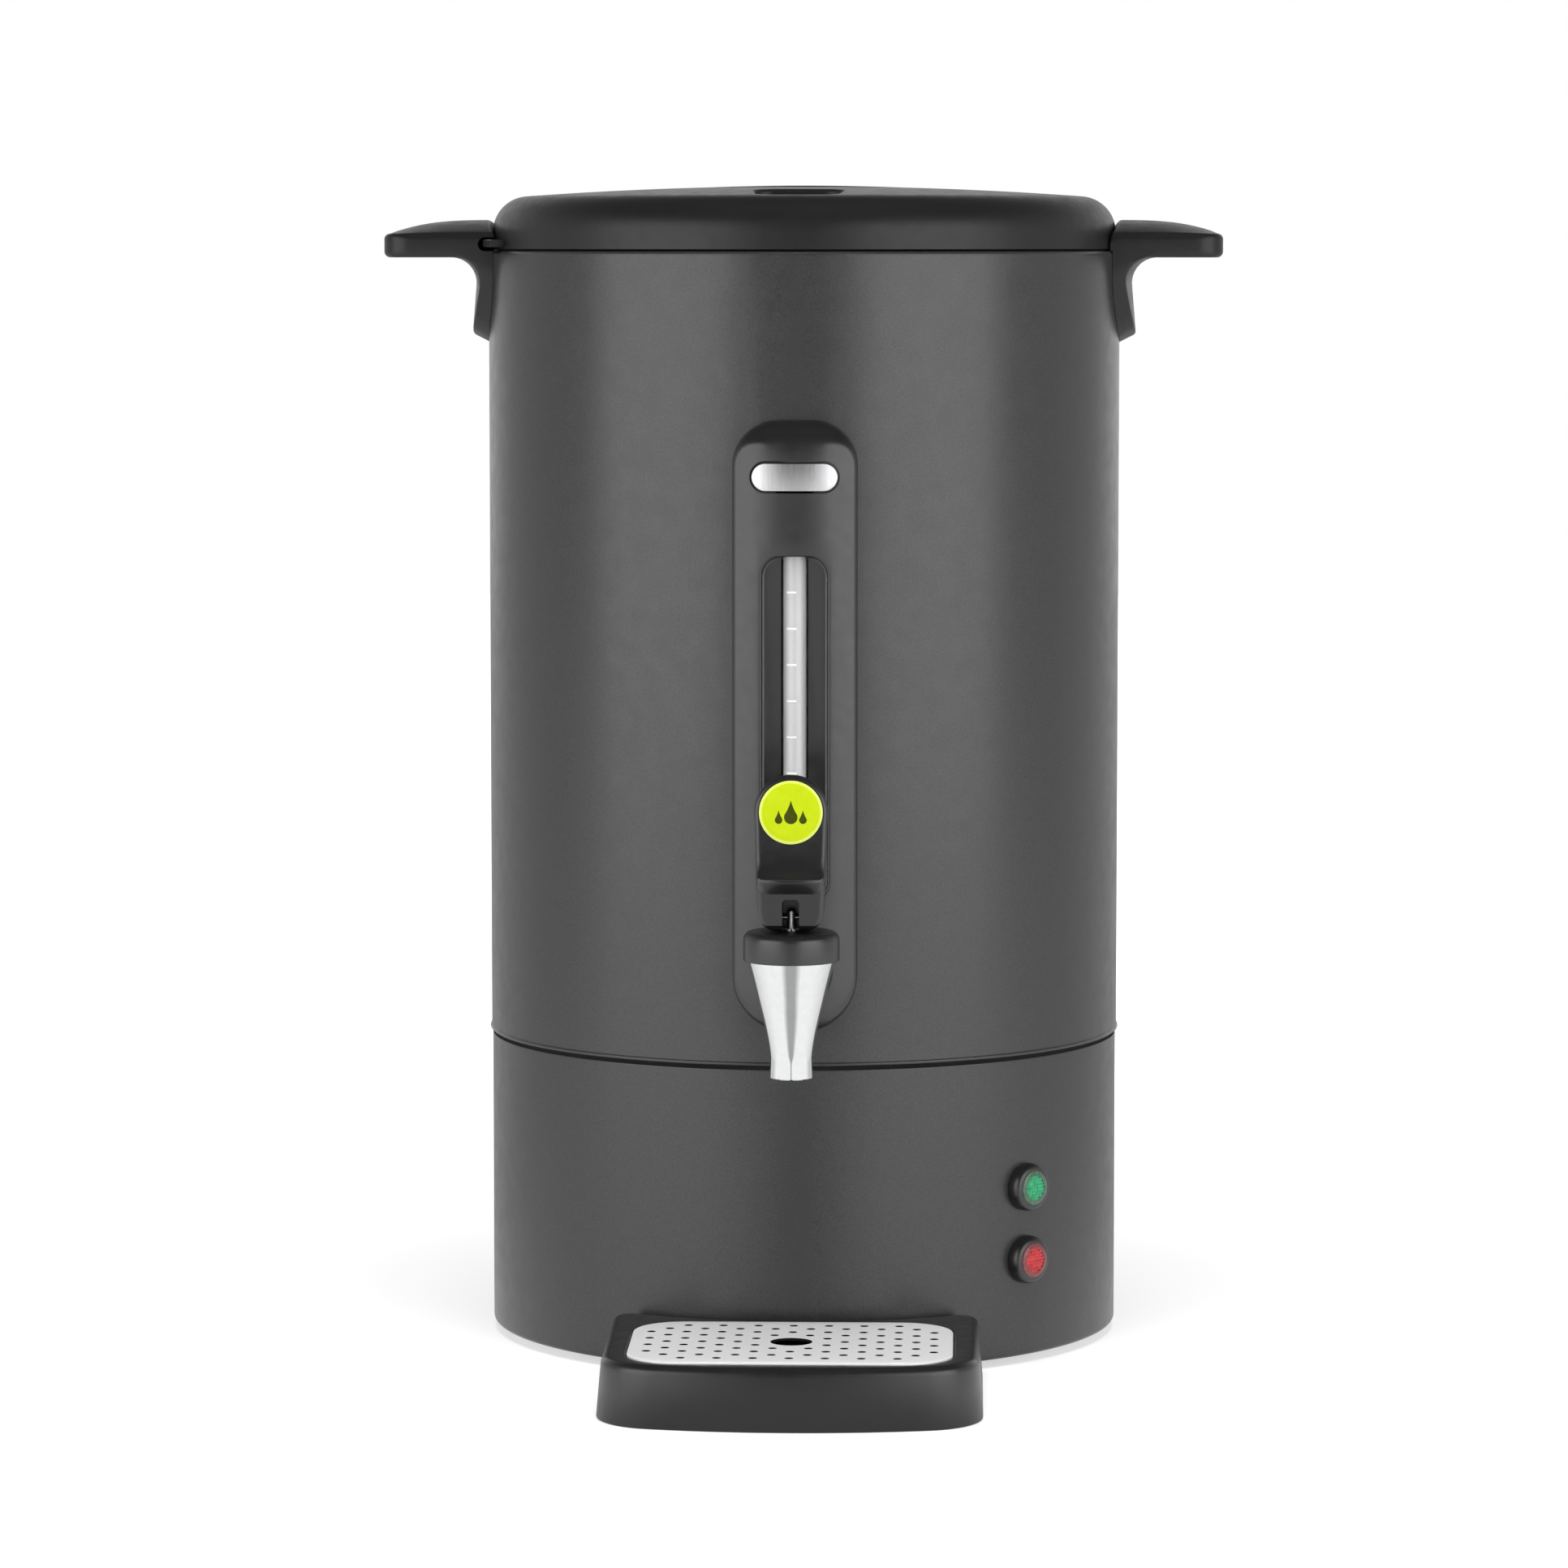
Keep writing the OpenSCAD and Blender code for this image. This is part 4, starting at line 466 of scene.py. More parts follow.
# Handles: two equal mouldings, each a crowned grip over a shield-shaped bracket.
# Screws hold them from inside the jacket; the slot in each takes a lug of the lid.
handle_half, handle_r = 36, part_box("right_handle")[1].x / mm
edge_top, ridge_rise, ridge_x, crown_r = 523.4, 6.9, 148, 98
grip_low, shield_low, handle_rim = 512.6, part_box("right_handle")[0].z / mm, 515.7
jacket_r, lid_gap_r = 150.1, 149
bracket_t, foot_t, foot_rise = 5.7, 8, 4
grip_fillet, plan_corner, end_edge = 12, 12, 3
tip_low, tip_high, soft_corner = 2.8, 2.6, 1.8
foot_share, toe_share, nose_share = 0.3, 0.35, 0.5
nose_gap, lip_gap = 3, 2.5
sharp, corner_arm = 0.01, 20


def eased(radius, depth):
    """Setback of a rounded edge at that depth inside its rounding."""
    return radius - math.sqrt(radius ** 2 - min(max(depth, 0), radius) ** 2)


def resampled(line, parts):
    """The same line with evenly spaced points."""
    reach = [0]
    for a, b in zip(line, line[1:]):
        reach.append(reach[-1] + math.dist(a, b))
    points = []
    for want in between(0, reach[-1], parts):
        i = min(bisect.bisect_left(reach, want, 1), len(line) - 1)
        share = (want - reach[i - 1]) / (reach[i] - reach[i - 1])
        points.append(tuple(a + (b - a) * share for a, b in zip(line[i - 1], line[i])))
    return points


def corner(before, at, after, radius, steps):
    """Rounding of one corner on a line of three points."""
    return rounded([before, at, after], [sharp, radius, sharp], steps)[steps + 1:2 * steps + 2]


def handle_slice(y):
    """Outline of the right handle in the plane at y."""
    soft = eased(end_edge, abs(y) - handle_half + end_edge)
    tip = handle_r - eased(plan_corner, abs(y) - handle_half + plan_corner)
    crown = ridge_rise * (1 - eased(crown_r, abs(y)) / eased(crown_r, handle_half))
    low = grip_low + soft
    shield = shield_low + handle_half - math.sqrt(max(handle_half ** 2 - y * y, 0))
    inner = math.sqrt(jacket_r ** 2 - y * y)
    upper = math.sqrt(lid_gap_r ** 2 - y * y)

    def crest_at(x):
        return x, edge_top + crown * (1 - max((x - ridge_x) / (handle_r - ridge_x), 0) ** 3) - soft

    bend_x, bend_z = inner + bracket_t + grip_fillet, low - grip_fillet
    side = ([(inner + foot_t, shield_low), (inner + bracket_t, bend_z)]
            + arc((bend_x, bend_z), grip_fillet, 180, 90, 16) + [(bend_x + grip_fillet, low)])
    kept = [(x, z) for x, z in resampled(side, 90)
            if z > min(shield + (x - inner) * foot_rise / foot_t, low - sharp)]
    foot_soft = min(soft_corner, foot_share * (kept[0][0] - inner))
    under = corner((inner, shield), kept[0], kept[5], foot_soft, 4) + resampled(kept[5:], 20)
    room = crest_at(tip)[1] - low
    toe_r, nose_r = min(tip_low, toe_share * room), min(tip_high, nose_share * room)
    toe = arc((tip - toe_r, low + toe_r), toe_r, 270, 360, 6)
    nose = corner((tip, low), crest_at(tip), crest_at(tip - corner_arm), nose_r, 8)
    top = [crest_at(x) for x in between(nose[-1][0] - nose_gap, upper + lip_gap, 12)]
    lip = corner(crest_at(upper + corner_arm), crest_at(upper), (upper, handle_rim), soft_corner, 5)
    outline = [(inner, shield)] + under + toe + nose + top + lip + [(upper, handle_rim), (inner, handle_rim)]
    return [(x, y, z) for x, z in outline]


slot_low, slot_high, slot_r, slot_end = 515.5, 522.1, 157, 10.1
slot_in, slot_half = lid_gap_r - 8, (slot_high - slot_low) / 2
slot_outline = ([(slot_in, slot_low)]
                + arc((slot_r - slot_half, slot_low + slot_half), slot_half, 270, 450, 12)
                + [(slot_in, slot_high)])
slot_turns = between(-math.asin(slot_end / slot_r), math.asin(1.3 * handle_half / slot_r), 16)
stations = [handle_half * math.sin(math.pi / 2 * s) for s in between(-1, 1, 44)]
for name, side in (("right_handle", 1), ("left_handle", -1)):
    grip_name = name.replace("_handle", "_grip")
    handle, slot_tool = [skin(piece, [[(side * x, side * y, z) for x, y, z in loop] for loop in loops])
                         for piece, loops in ((grip_name, [handle_slice(y) for y in stations]),
                                              ("slot_tool", [swept(slot_outline, a) for a in slot_turns]))]
    shaped(handle, "DIFFERENCE", slot_tool)
    fit(handle, moulded, "urn", "moulded_black", name)

# Gauge cover: a long moulding that bows out from the jacket, with a sunk window.
# Two screws from inside the jacket and the tap's shank hold it. A blank metal plate
# sits in a recess above the window.
cover_low, cover_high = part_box("gauge_cover")[0] / mm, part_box("gauge_cover")[1] / mm
cover_bow, cover_wall = 65, 2.2
cover_axis = cover_low.y + cover_bow
side_edge, foot_round, top_round = 2, 9, 14
foot_corner, top_corner = 26, 20
window_half, window_low, window_high, window_corner = 15, 222, 378.5, 9
window_floor, window_rim, floor_fillet = -160, 1.2, 1.4


def panel(width, low, high, foot_r, top_r, steps=10, parts=6):
    """Rounded box outline of x and z, with its straight edges split into parts."""
    side = width / 2
    outline = (arc((-side + foot_r, low + foot_r), foot_r, 180, 270, steps)
               + arc((side - foot_r, low + foot_r), foot_r, 270, 360, steps)
               + arc((side - top_r, high - top_r), top_r, 0, 90, steps)
               + arc((-side + top_r, high - top_r), top_r, 90, 180, steps))
    split = []
    for i, (x, z) in enumerate(outline):
        split.append((x, z))
        if i % (steps + 1) == steps:
            next_x, next_z = outline[(i + 1) % len(outline)]
            split += list(zip(between(x, next_x, parts), between(z, next_z, parts)))[1:-1]
    return split


def bow(x):
    """Front of the gauge cover at that x."""
    return cover_axis - math.sqrt(cover_bow ** 2 - x * x)


cover_outline = panel(cover_high.x - cover_low.x, cover_low.z, cover_high.z, foot_corner, top_corner)
edges = []
for i in range(len(cover_outline)):
    step = Vector(cover_outline[(i + 1) % len(cover_outline)]) - Vector(cover_outline[i - 1])
    step.normalize()
    end_round = top_round if step.x < 0 else foot_round
    edges.append((step.y, -step.x, side_edge + (end_round - side_edge) * step.x ** 2))


def cover_loop(set_in, turn, on_jacket=False):
    """Loop round the cover, set in from its faces, part of the way round its edge."""
    loop = []
    for (x, z), (out_x, out_z, edge) in zip(cover_outline, edges):
        depth = set_in + (edge - set_in) * (1 - math.cos(turn))
        x, z = x - out_x * depth, z - out_z * depth
        y = bow(x) + set_in + (edge - set_in) * (1 - math.sin(turn))
        loop.append((x, -math.sqrt(jacket_r ** 2 - x * x) if on_jacket else y, z))
    return loop


def window_loop(grow, depth=None, sunk=0):
    """Loop of the window grown by that much, at a fixed y, or sunk below the cover's front."""
    outline = panel(2 * (window_half + grow), window_low - grow, window_high + grow,
                    window_corner + grow, window_corner + grow)
    return [(x, bow(x) + sunk if depth is None else depth, z) for x, z in outline]


def blend_loops(first, last, parts, sunk):
    """Loops on the cover's front between two loops, without these two."""
    loops = []
    for t in between(0, 1, parts)[1:-1]:
        mixed = [(a[0] + (b[0] - a[0]) * t, a[2] + (b[2] - a[2]) * t) for a, b in zip(first, last)]
        loops.append([(x, bow(x) + sunk, z) for x, z in mixed])
    return loops


quarter = between(0, math.pi / 2, 6)
front_edge = [cover_loop(0, a) for a in reversed(quarter)]
inner_edge = [cover_loop(cover_wall, a) for a in quarter[::3]]
rim_loops = [window_loop(down, sunk=back) for back, down in reversed(rounding(window_rim))]
inner_rim = window_loop(cover_wall, sunk=cover_wall)
floor_loops = [window_loop(-back, window_floor - down) for back, down in reversed(rounding(floor_fillet))]
gauge_cover = skin("gauge_front", floor_loops + rim_loops + blend_loops(rim_loops[-1], front_edge[0], 6, 0)
                   + front_edge + [cover_loop(0, 0, True), cover_loop(cover_wall, 0, True)] + inner_edge
                   + blend_loops(inner_edge[-1], inner_rim, 3, cover_wall)
                   + [inner_rim, window_loop(cover_wall, window_floor + cover_wall)])

glass_low, glass_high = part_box("gauge_glass")[0] / mm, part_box("gauge_glass")[1] / mm
glass_y, glass_r = (glass_low.y + glass_high.y) / 2, glass_high.x
channel_r, channel_corner, channel_end, channel_over = glass_r + 0.6, 0.4, 1, 0.5
channel_low, channel_high = window_low - 2 * cover_wall, window_high + 2 * cover_wall
shank_z, shank_hole_r, shank_hole_ends = 191, 10.3, (-180, -140)
badge_low, badge_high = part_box("gauge_badge")[0] / mm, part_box("gauge_badge")[1] / mm
badge_gap, badge_bed, badge_over = 1, 1.1, 2


def pill(sunk):
    """Loop of the badge's recess, sunk by that much below the cover's front."""
    low, high = badge_low.z - badge_gap, badge_high.z + badge_gap
    end = (high - low) / 2 - 0.05
    outline = panel(badge_high.x - badge_low.x + 2 * badge_gap, low, high, end, end, 10, 14)
    return [(x, bow(x) + sunk, z) for x, z in outline]


def rod(name, centre, radius, axis, first, last, steps=48):
    """Round bar along an axis, for a hole."""
    ringed = [(centre[0] + a, centre[1] + b)
              for a, b in arc((0, 0), radius, 180 / steps, 360 - 180 / steps, steps - 1)]
    return skin(name, [[point[:axis] + (along,) + point[axis:] for point in ringed]
                       for along in (first, last)])


channel = panel(2 * channel_r, window_low + channel_end, window_high - channel_end, channel_corner,
                channel_corner)
shaped(gauge_cover, "DIFFERENCE",
       skin("channel", [[(x, y, z) for x, z in channel]
                        for y in (window_floor - channel_over, window_floor + 2 * cover_wall)]),
       rod("channel_ends", (0, glass_y), channel_r + 0.03, 2, channel_low, channel_high),
       rod("shank_hole", (0, shank_z), shank_hole_r, 1, *shank_hole_ends),
       skin("badge_recess", [pill(badge_bed), pill(-badge_over)]))
satin = moulding("satin_black", (0.3, 0.37), 1)
fit(gauge_cover, satin, "urn", "moulded_black", "gauge_cover")

upright_brush = (1, 1, 80)
bright = mottled("bright_plate", grain=0.25, colours=((0.58, 0.58, 0.59), (0.68, 0.68, 0.69)), patch=0.2,
                 rough=(0.26, 0.38), stretch=upright_brush, Metallic=1)
badge_edge, badge_proud, badge_sunk = 0.4, -0.52, 1.15
badge_half, badge_end = badge_high.x, (badge_high.z - badge_low.z) / 2
badge_z = badge_high.z - badge_end


def badge_section(x):
    """Upright section of the badge at that x, rounded along its front edges."""
    high = math.sqrt(badge_end ** 2 - max(abs(x) - badge_half + badge_end, 0) ** 2)
    edge = min(badge_edge, high / 2)
    upper = [(badge_proud + down, high - back) for back, down in rounding(edge)]
    outline = [(badge_sunk, -high), (badge_sunk, high)] + upper + [(y, -z) for y, z in reversed(upper)]
    return [(x, bow(x) + y, badge_z + z) for y, z in outline]


badge = skin("blank_badge", [badge_section(badge_half * math.sin(a)) for a in between(-1.5, 1.5, 48)])
fit(badge, bright, "urn", "bright_steel", "gauge_badge")

# Level glass: a clear tube with a white enamel stripe down its back, fused in,
# so that the level shows; white marks on its front stand a litre apart.
glass = finish("level_glass", Base_Color=(0.98, 0.98, 0.98, 1), IOR=1.47, Transmission_Weight=0.66)
uneven(glass, "Roughness", speckle(glass, 20, (1, 1, 6)), 0.01, 0.03)
dress(glass, "gauge_glass")


def on_glass(name, made, radius, thick, turn, low, high):
    """Strip that follows the tube between two angles, where -90 is its front, and two heights."""
    outline = arc((0, glass_y), radius, *turn, 14) + arc((0, glass_y), radius - thick, *reversed(turn), 14)
    fit(skin(name, [[(x, y, z) for x, y in outline] for z in (low, high)]), made, "urn", "level_glass")


enamel = finish("enamel")
tint(enamel, speckle(enamel, 8, (1, 1, 10)), (0.72, 0.72, 0.71), (0.76, 0.76, 0.75))
uneven(enamel, "Roughness", speckle(enamel, 4), 0.35, 0.48)
stripe_in, stripe_t, stripe_turn, stripe_end = 1.62, 0.2, (44, 136), 1
on_glass("glass_stripe", enamel, glass_r - stripe_in, stripe_t, stripe_turn, glass_low.z + stripe_end,
         glass_high.z - stripe_end)
white_print = mottled("white_print", grain=1, colours=((0.88, 0.88, 0.87), (0.94, 0.94, 0.93)), patch=2,
                      rough=(0.3, 0.42))
mark_count, mark_top, mark_pitch, mark_high = 9, 362.3, 16.4, 0.95
mark_proud, mark_t, mark_turn = 0.06, 0.05, (-130, -80)
for i in range(mark_count):
    z = mark_top - mark_pitch * i
    on_glass(f"glass_mark_{i + 1}", white_print, glass_r + mark_proud, mark_t, mark_turn, z - mark_high / 2,
             z + mark_high / 2)

# Tap: a polished chrome casting, a black screwed bonnet and a steel stem.
# The rubber cup on the stem closes the seat under the spring; the washer pads
# the shank against the gauge cover.
chrome = mottled("chrome", grain=3, colours=((0.84, 0.845, 0.85), (0.88, 0.885, 0.89)), patch=5,
                 rough=(0.03, 0.06), Metallic=1)
relief(chrome, speckle(chrome, 9), 0.02)
dress(chrome, "tap_body")
tap_y = -211
spout_low, spout_throat, spout_top = 148.2, 157, 201.8
lip_r, throat_r, funnel_r, flare = 9.45, 9.2, 18.2, 1.3
fuller_low, fuller_high, fuller_from, fuller_over = 1.035, 1.09, 160, 24
spout_edge, spout_lap = 0.35, 0.3


def spout_radius(z):
    """Radius of the cast spout at that height: a straight lip under a flared funnel."""
    if z < spout_throat:
        return lip_r + (throat_r - lip_r) * (z - spout_low) / (spout_throat - spout_low)
    return throat_r + (funnel_r - throat_r) * ((z - spout_throat) / (spout_top - spout_throat)) ** flare


def plated(z):
    """Radius of the polished outside, which is fuller than the cast core, mostly near the top."""
    share = min(max((z - fuller_from) / fuller_over, 0), 1)
    return spout_radius(z) * (fuller_low + (fuller_high - fuller_low) * share * share * (3 - 2 * share))


spout_steps = between(spout_low, spout_top, 40)
spout = turned("spout_funnel",
               [(spout_radius(spout_low) - spout_lap, spout_low),
                (plated(spout_low) - spout_edge, spout_low)]
               + [(plated(z), z) for z in [spout_low + spout_edge] + spout_steps[1:]]
               + [(spout_radius(z) - spout_lap, z) for z in reversed(spout_steps[1:])], tap_y, steps=120)
fit(spout, chrome, "urn", "chrome")

dress(satin, "tap_bonnet")
cap_r, cap_low, cap_top, cap_edge, cap_foot = 21.5, 200.9, 214.2, 3.8, 0.6
core_r, core_top, core_flat = 20.9, 211.3, 17.4
cap_in, stem_hole = 20.1, 2.3
cap = turned("bonnet_cap",
             [(cap_in, cap_low)] + arc((cap_r - cap_foot, cap_low + cap_foot), cap_foot, -90, 0, 4)
             + arc((cap_r - cap_edge, cap_top - cap_edge), cap_edge, 0, 90, 10)
             + [(stem_hole, cap_top), (stem_hole, core_top), (core_flat, core_top),
                (core_r, core_top - core_r + core_flat), (core_r, spout_top + 0.2), (cap_in, spout_top)],
             tap_y, steps=120)
fit(cap, satin, "urn", "moulded_black")

dress(rubber, "shank_washer")
stem_steel = mottled("stem_steel", grain=0.4, colours=((0.6, 0.6, 0.61), (0.74, 0.74, 0.75)), patch=0.3,
                     rough=(0.16, 0.3), stretch=(1, 1, 30), Metallic=1)
dress(stem_steel, "tap_stem", "lever_pin", "tap_spring")

# Lever: one black moulding on the stem's cross pin, with a scooped face over a finger lip.
# Its heel is a cam that bears on the bonnet and lifts the stem; the slot clears the stem.
pin_z, pin_hole_r = 220.3, 1.05
heel_low, heel_front, heel_back, heel_corner, cam_end = -5.6, -6.55, 8, 9, (-13.36, -2.3)
neck_front, neck_half = -14.8, 14.2
lip_front, lip_z, lip_low, lip_corner, lip_half, lip_round, lip_bow = -21.5, 18.3, 11.8, 6, 15.4, 1.5, 36
face_low, face_mid, face_lean = (-11.66, 30.93), -9, math.radians(9)
paddle_z, paddle_r, paddle_t = 47.7, 16.35, 5.5
cheek_half, cheek_z, lever_edge = 16, 42.1, 1.9
slot_w, slot_foot, slot_top, slot_corner = 7.6, -20, 9.4, 2
slot_front, slot_back = -40, 4.2


def curve(first, aim, last, steps=12):
    """Points of a curve that leaves and arrives along the lines to aim."""
    return [tuple((1 - t) ** 2 * a + 2 * t * (1 - t) * b + t * t * c for a, b, c in zip(first, aim, last))
            for t in between(0, 1, steps)]


def at_height(points, z):
    """The y of a rising line of y and z points at height z."""
    for (y0, z0), (y1, z1) in zip(points, points[1:]):
        if z <= z1:
            return y0 if z1 == z0 else y0 + (y1 - y0) * (max(z, z0) - z0) / (z1 - z0)
    return points[-1][0]


def face(z):
    """The y of the paddle's face at height z."""
    return face_mid + (z - paddle_z) * math.tan(face_lean)


paddle_top = paddle_z + paddle_r
scoop_aim, heel_aim = (face_low[0] - 2, lip_z + 4), (cam_end[0] + 2, heel_low + 0.4)
scoop = curve((lip_front, lip_z), scoop_aim, face_low)
front_line = (curve((heel_front, heel_low), heel_aim, cam_end, 6)
              + [(neck_front, lip_z), (neck_front, paddle_top)])
back_line = ([(heel_back, heel_low)]
             + curve((heel_back, 0), (heel_back - 6, lip_z), (face_mid + paddle_t, paddle_z))
             + [(face(paddle_top) + paddle_t, paddle_top)])


def half_width(z):
    """Half the lever's width at height z."""
    if z > paddle_z:
        return math.sqrt(max(paddle_r ** 2 - (z - paddle_z) ** 2, 0))
    if z > cheek_z:
        swell = math.sin(math.pi / 2 * (z - cheek_z) / (paddle_z - cheek_z))
        return cheek_half + (paddle_r - cheek_half) * swell
    if z > lip_z:
        return lip_half + (cheek_half - lip_half) * (z - lip_z) / (cheek_z - lip_z)
    neck = neck_half + (lip_half - neck_half) * (z - heel_low) / (lip_z - heel_low)
    return neck - eased(heel_corner, heel_low + heel_corner - z)


def sharp_front(x, z):
    """The y of the lever's front before its lip is rounded, with the lip's sloping underside."""
    bowed = x * x / (2 * lip_bow)
    if z > lip_z:
        fade = max(1 - (z - lip_z) / (face_low[1] - lip_z), 0) ** 2
        return (at_height(scoop, z) if z < face_low[1] else face(z)) + bowed * fade
    rise = lip_low + eased(lip_corner, abs(x) - lip_half + lip_corner)
    share = min(max((z - rise) / max(lip_z - rise, 0.2), 0), 1)
    neck = at_height(front_line, z)
    return neck + (lip_front + bowed - neck) * share


def front(x, z):
    """The y of the lever's front, with the edge of the lip rounded."""
    reach = lip_round * max(1 - abs(z - lip_z) / (2 * lip_round), 0)
    near = between(z - reach, z + reach, 5)
    return sum(sharp_front(x, level) for level in near) / len(near)


def lever_loop(z):
    """Section of the lever at height z, rounded at its edges."""
    half = half_width(z)
    ahead, behind = [], []
    for s in between(-1, 1, 28):
        x = half * math.sin(math.pi / 2 * s)
        room = paddle_r - math.hypot(x, z - paddle_z) if z > paddle_z else half - abs(x)
        soft = eased(lever_edge, lever_edge - room)
        ahead.append((x, tap_y + front(x, z) + soft, pin_z + z))
        behind.append((x, tap_y + at_height(back_line, z) - soft, pin_z + z))
    return ahead + behind[::-1]


levels = (between(heel_low, cam_end[1], 6) + between(cam_end[1] + 1.3, lip_low - 0.4, 6)
          + between(lip_low, lip_z, 18) + between(lip_z + 0.3, face_low[1], 16)
          + between(face_low[1] + 2, paddle_z, 8)
          + [paddle_z + paddle_r * math.sin(a) for a in between(0.1, math.pi / 2 - 0.02, 20)])
lever = skin("lever_moulding", [lever_loop(z) for z in levels])
face_up = Vector((0, math.sin(face_lean), math.cos(face_lean)))
face_out = Vector((0, -face_up.z, face_up.y))
disc_middle = Vector((0, tap_y + face_mid, pin_z + paddle_z))
disc_r, disc_gap, disc_bed, disc_over = 14.15, 0.15, -0.8, 4


def on_face(x, z, out):
    """Point of the paddle's face, from the disc's middle, raised out of it."""
    return tuple(disc_middle + Vector((x, 0, 0)) + face_up * z + face_out * out)


def face_ring(radius, out, steps=64):
    """Circle on the paddle's face, raised out of it."""
    return [on_face(x, z, out) for x, z in arc((0, 0), radius, 0, 360 - 360 / steps, steps - 1)]


stem_slot = [(x, pin_z + z) for x, z in panel(slot_w, slot_foot, slot_top, 0.2, slot_corner, 6, 2)]
shaped(lever, "DIFFERENCE",
       skin("stem_slot", [[(x, tap_y + y, z) for x, z in stem_slot] for y in (slot_front, slot_back)]),
       rod("pin_hole", (tap_y, pin_z), pin_hole_r, 0, -2 * neck_half, 2 * neck_half, 24),
       skin("disc_recess", [face_ring(disc_r + disc_gap, out) for out in (disc_bed, disc_over)]))
fit(lever, satin, "lever", "moulded_black", "tap_lever")

# Lever disc: a printed foil under a clear poured dome, stuck in the lever's recess.
# The dome's edge is painted paler, a painted highlight for the light it gathers there; the print shows three
# drops.
poured = {"Coat_Weight": 1, "Coat_Roughness": 0.04}
lime, lime_painted_highlight = [mottled(name, grain=4, colours=colours, patch=2, rough=(0.16, 0.24), **poured)
                   for name, colours in (("lime", ((0.54, 0.68, 0.004), (0.58, 0.72, 0.008))),
                                         ("lime_painted_highlight", ((0.68, 0.78, 0.1), (0.72, 0.82, 0.14))))]
drop_green = finish("drop_green", Roughness=0.2, **poured)
tint(drop_green, speckle(drop_green, 1), (0.05, 0.06, 0.004), (0.07, 0.08, 0.006))
rim_in, disc_back, pour_edge, pour_rise = 12.9, -0.7, 0.1, 0.58
print_back, print_front = -0.1, 0.02


def disc_height(radius):
    """Height of the poured dome over the lever's face."""
    return pour_edge + pour_rise * math.sqrt(max(1 - (radius / disc_r) ** 4, 0))


# The rim wears the paler lime: a painted highlight for the light at the dome's edge.
rim = skin("disc_rim", [face_ring(disc_r, disc_back), face_ring(disc_r, pour_edge)]
           + [face_ring(r, disc_height(r)) for r in (disc_r - 0.06, disc_r - 0.25, disc_r - 0.6, rim_in)]
           + [face_ring(rim_in, disc_back)], ring=True)
fit(rim, lime_painted_highlight, "lever", "lime")
foil_r = rim_in - 0.01
disc = skin("disc_face", [face_ring(foil_r, disc_back)]
            + [face_ring(r, disc_height(r)) for r in between(foil_r, 0.1, 8)])
fit(disc, lime, "lever", "lime", "lever_badge")


def drop(name, across, up, radius, tall):
    """Printed drop on the disc: round below, drawn to a point above."""
    side, waist = 0.866 * radius, radius / 2
    outline = (arc((0, 0), radius, 150, 390, 20)
               + curve((side, waist), (radius / 3, tall / 2), (0, tall), 6)[1:]
               + curve((0, tall), (-radius / 3, tall / 2), (-side, waist), 6)[1:-1])
    spots = [(across + x, up + z) for x, z in outline]
    return skin(name, [[on_face(x, z, disc_height(math.hypot(x, z)) + out) for x, z in spots]
                       for out in (print_back, print_front)])


for name, across, up, radius, tall in (("drop_large", 0, -2.2, 3, 7.6), ("drop_left", -5.4, -3.4, 1.7, 4.4),
                                       ("drop_right", 5.4, -3.4, 1.7, 4.4)):
    fit(drop(name, across, up, radius, tall), drop_green, "lever", "lime")

# Pilot lamps: black snap-in bezels with moulded lenses, cut inside into small pyramids.
# They stand on the base, right of the tray; ring nuts hold them from inside.
dress(satin, "green_bezel", "red_bezel", "lamp_nuts")
lamp_turn, lamp_seat = math.radians(-45), 149.5
lamp_out = Vector((math.cos(lamp_turn), math.sin(lamp_turn), 0))
lamp_side = Vector((-lamp_out.y, lamp_out.x, 0))
lens_r, lens_front, lens_dome, lens_back, lens_side = 5.7, 7.4, 0.6, -16, 5.8
collar = [(lens_r, 4.2), (6.7, 4.2), (7.95, 5.7), (8, 6.1), (7.75, 6.45), (7.2, 6.65), (lens_r, 6.75)]
prism_pitch, prism_depth = 1.6, 0.7
lens_turns = between(0, 2 * math.pi, 96)[:-1]
lens_gloss = {"Coat_Weight": 0.6, "Coat_Roughness": 0.05}


def lens_loop(radius, z, level=None):
    """Circle round a lens at height z; without a level, on its pyramid-cut front."""
    loop = []
    for angle in lens_turns:
        across, up, out = radius * math.cos(angle), radius * math.sin(angle), level
        if level is None:
            ridges = [abs((along / prism_pitch) % 1 - 0.5) * 2 for along in (across, up)]
            out = lens_front - lens_dome * (radius / lens_r) ** 3 - prism_depth * max(ridges)
        loop.append(tuple(lamp_out * (lamp_seat + out) + lamp_side * across + Vector((0, 0, z + up))))
    return loop


for colour, z, dark, light, glow, deep in (
        ("green", 83, (0.0, 0.2, 0.07), (0.04, 0.42, 0.19), (0.01, 0.42, 0.16, 1), (0.05, 0.11, 0.065)),
        ("red", 49, (0.32, 0.008, 0.012), (0.6, 0.04, 0.05), (0.62, 0.02, 0.03, 1), (0.17, 0.035, 0.036))):
    lens_name, collar_name = f"{colour}_lens", f"{colour}_collar"
    tinted = mottled(lens_name, grain=2.2, colours=(dark, light), patch=1, rough=(0.08, 0.2),
                     Emission_Strength=0.22, Emission_Color=glow, **lens_gloss)
    prism = skin(f"{colour}_prism", [lens_loop(lens_r, z, level) for level in (lens_back, lens_side)]
                 + [lens_loop(r, z) for r in between(lens_r, 0.05, 26)])
    fit(prism, tinted, "urn", lens_name, lens_name, crease=15)
    dense = mottled(collar_name, grain=2, colours=(deep, [1.5 * c for c in deep]), patch=1, rough=(0.1, 0.2),
                    **lens_gloss)
    ring = skin(collar_name, [lens_loop(r, z, level) for r, level in collar], ring=True)
    fit(ring, dense, "urn", lens_name)

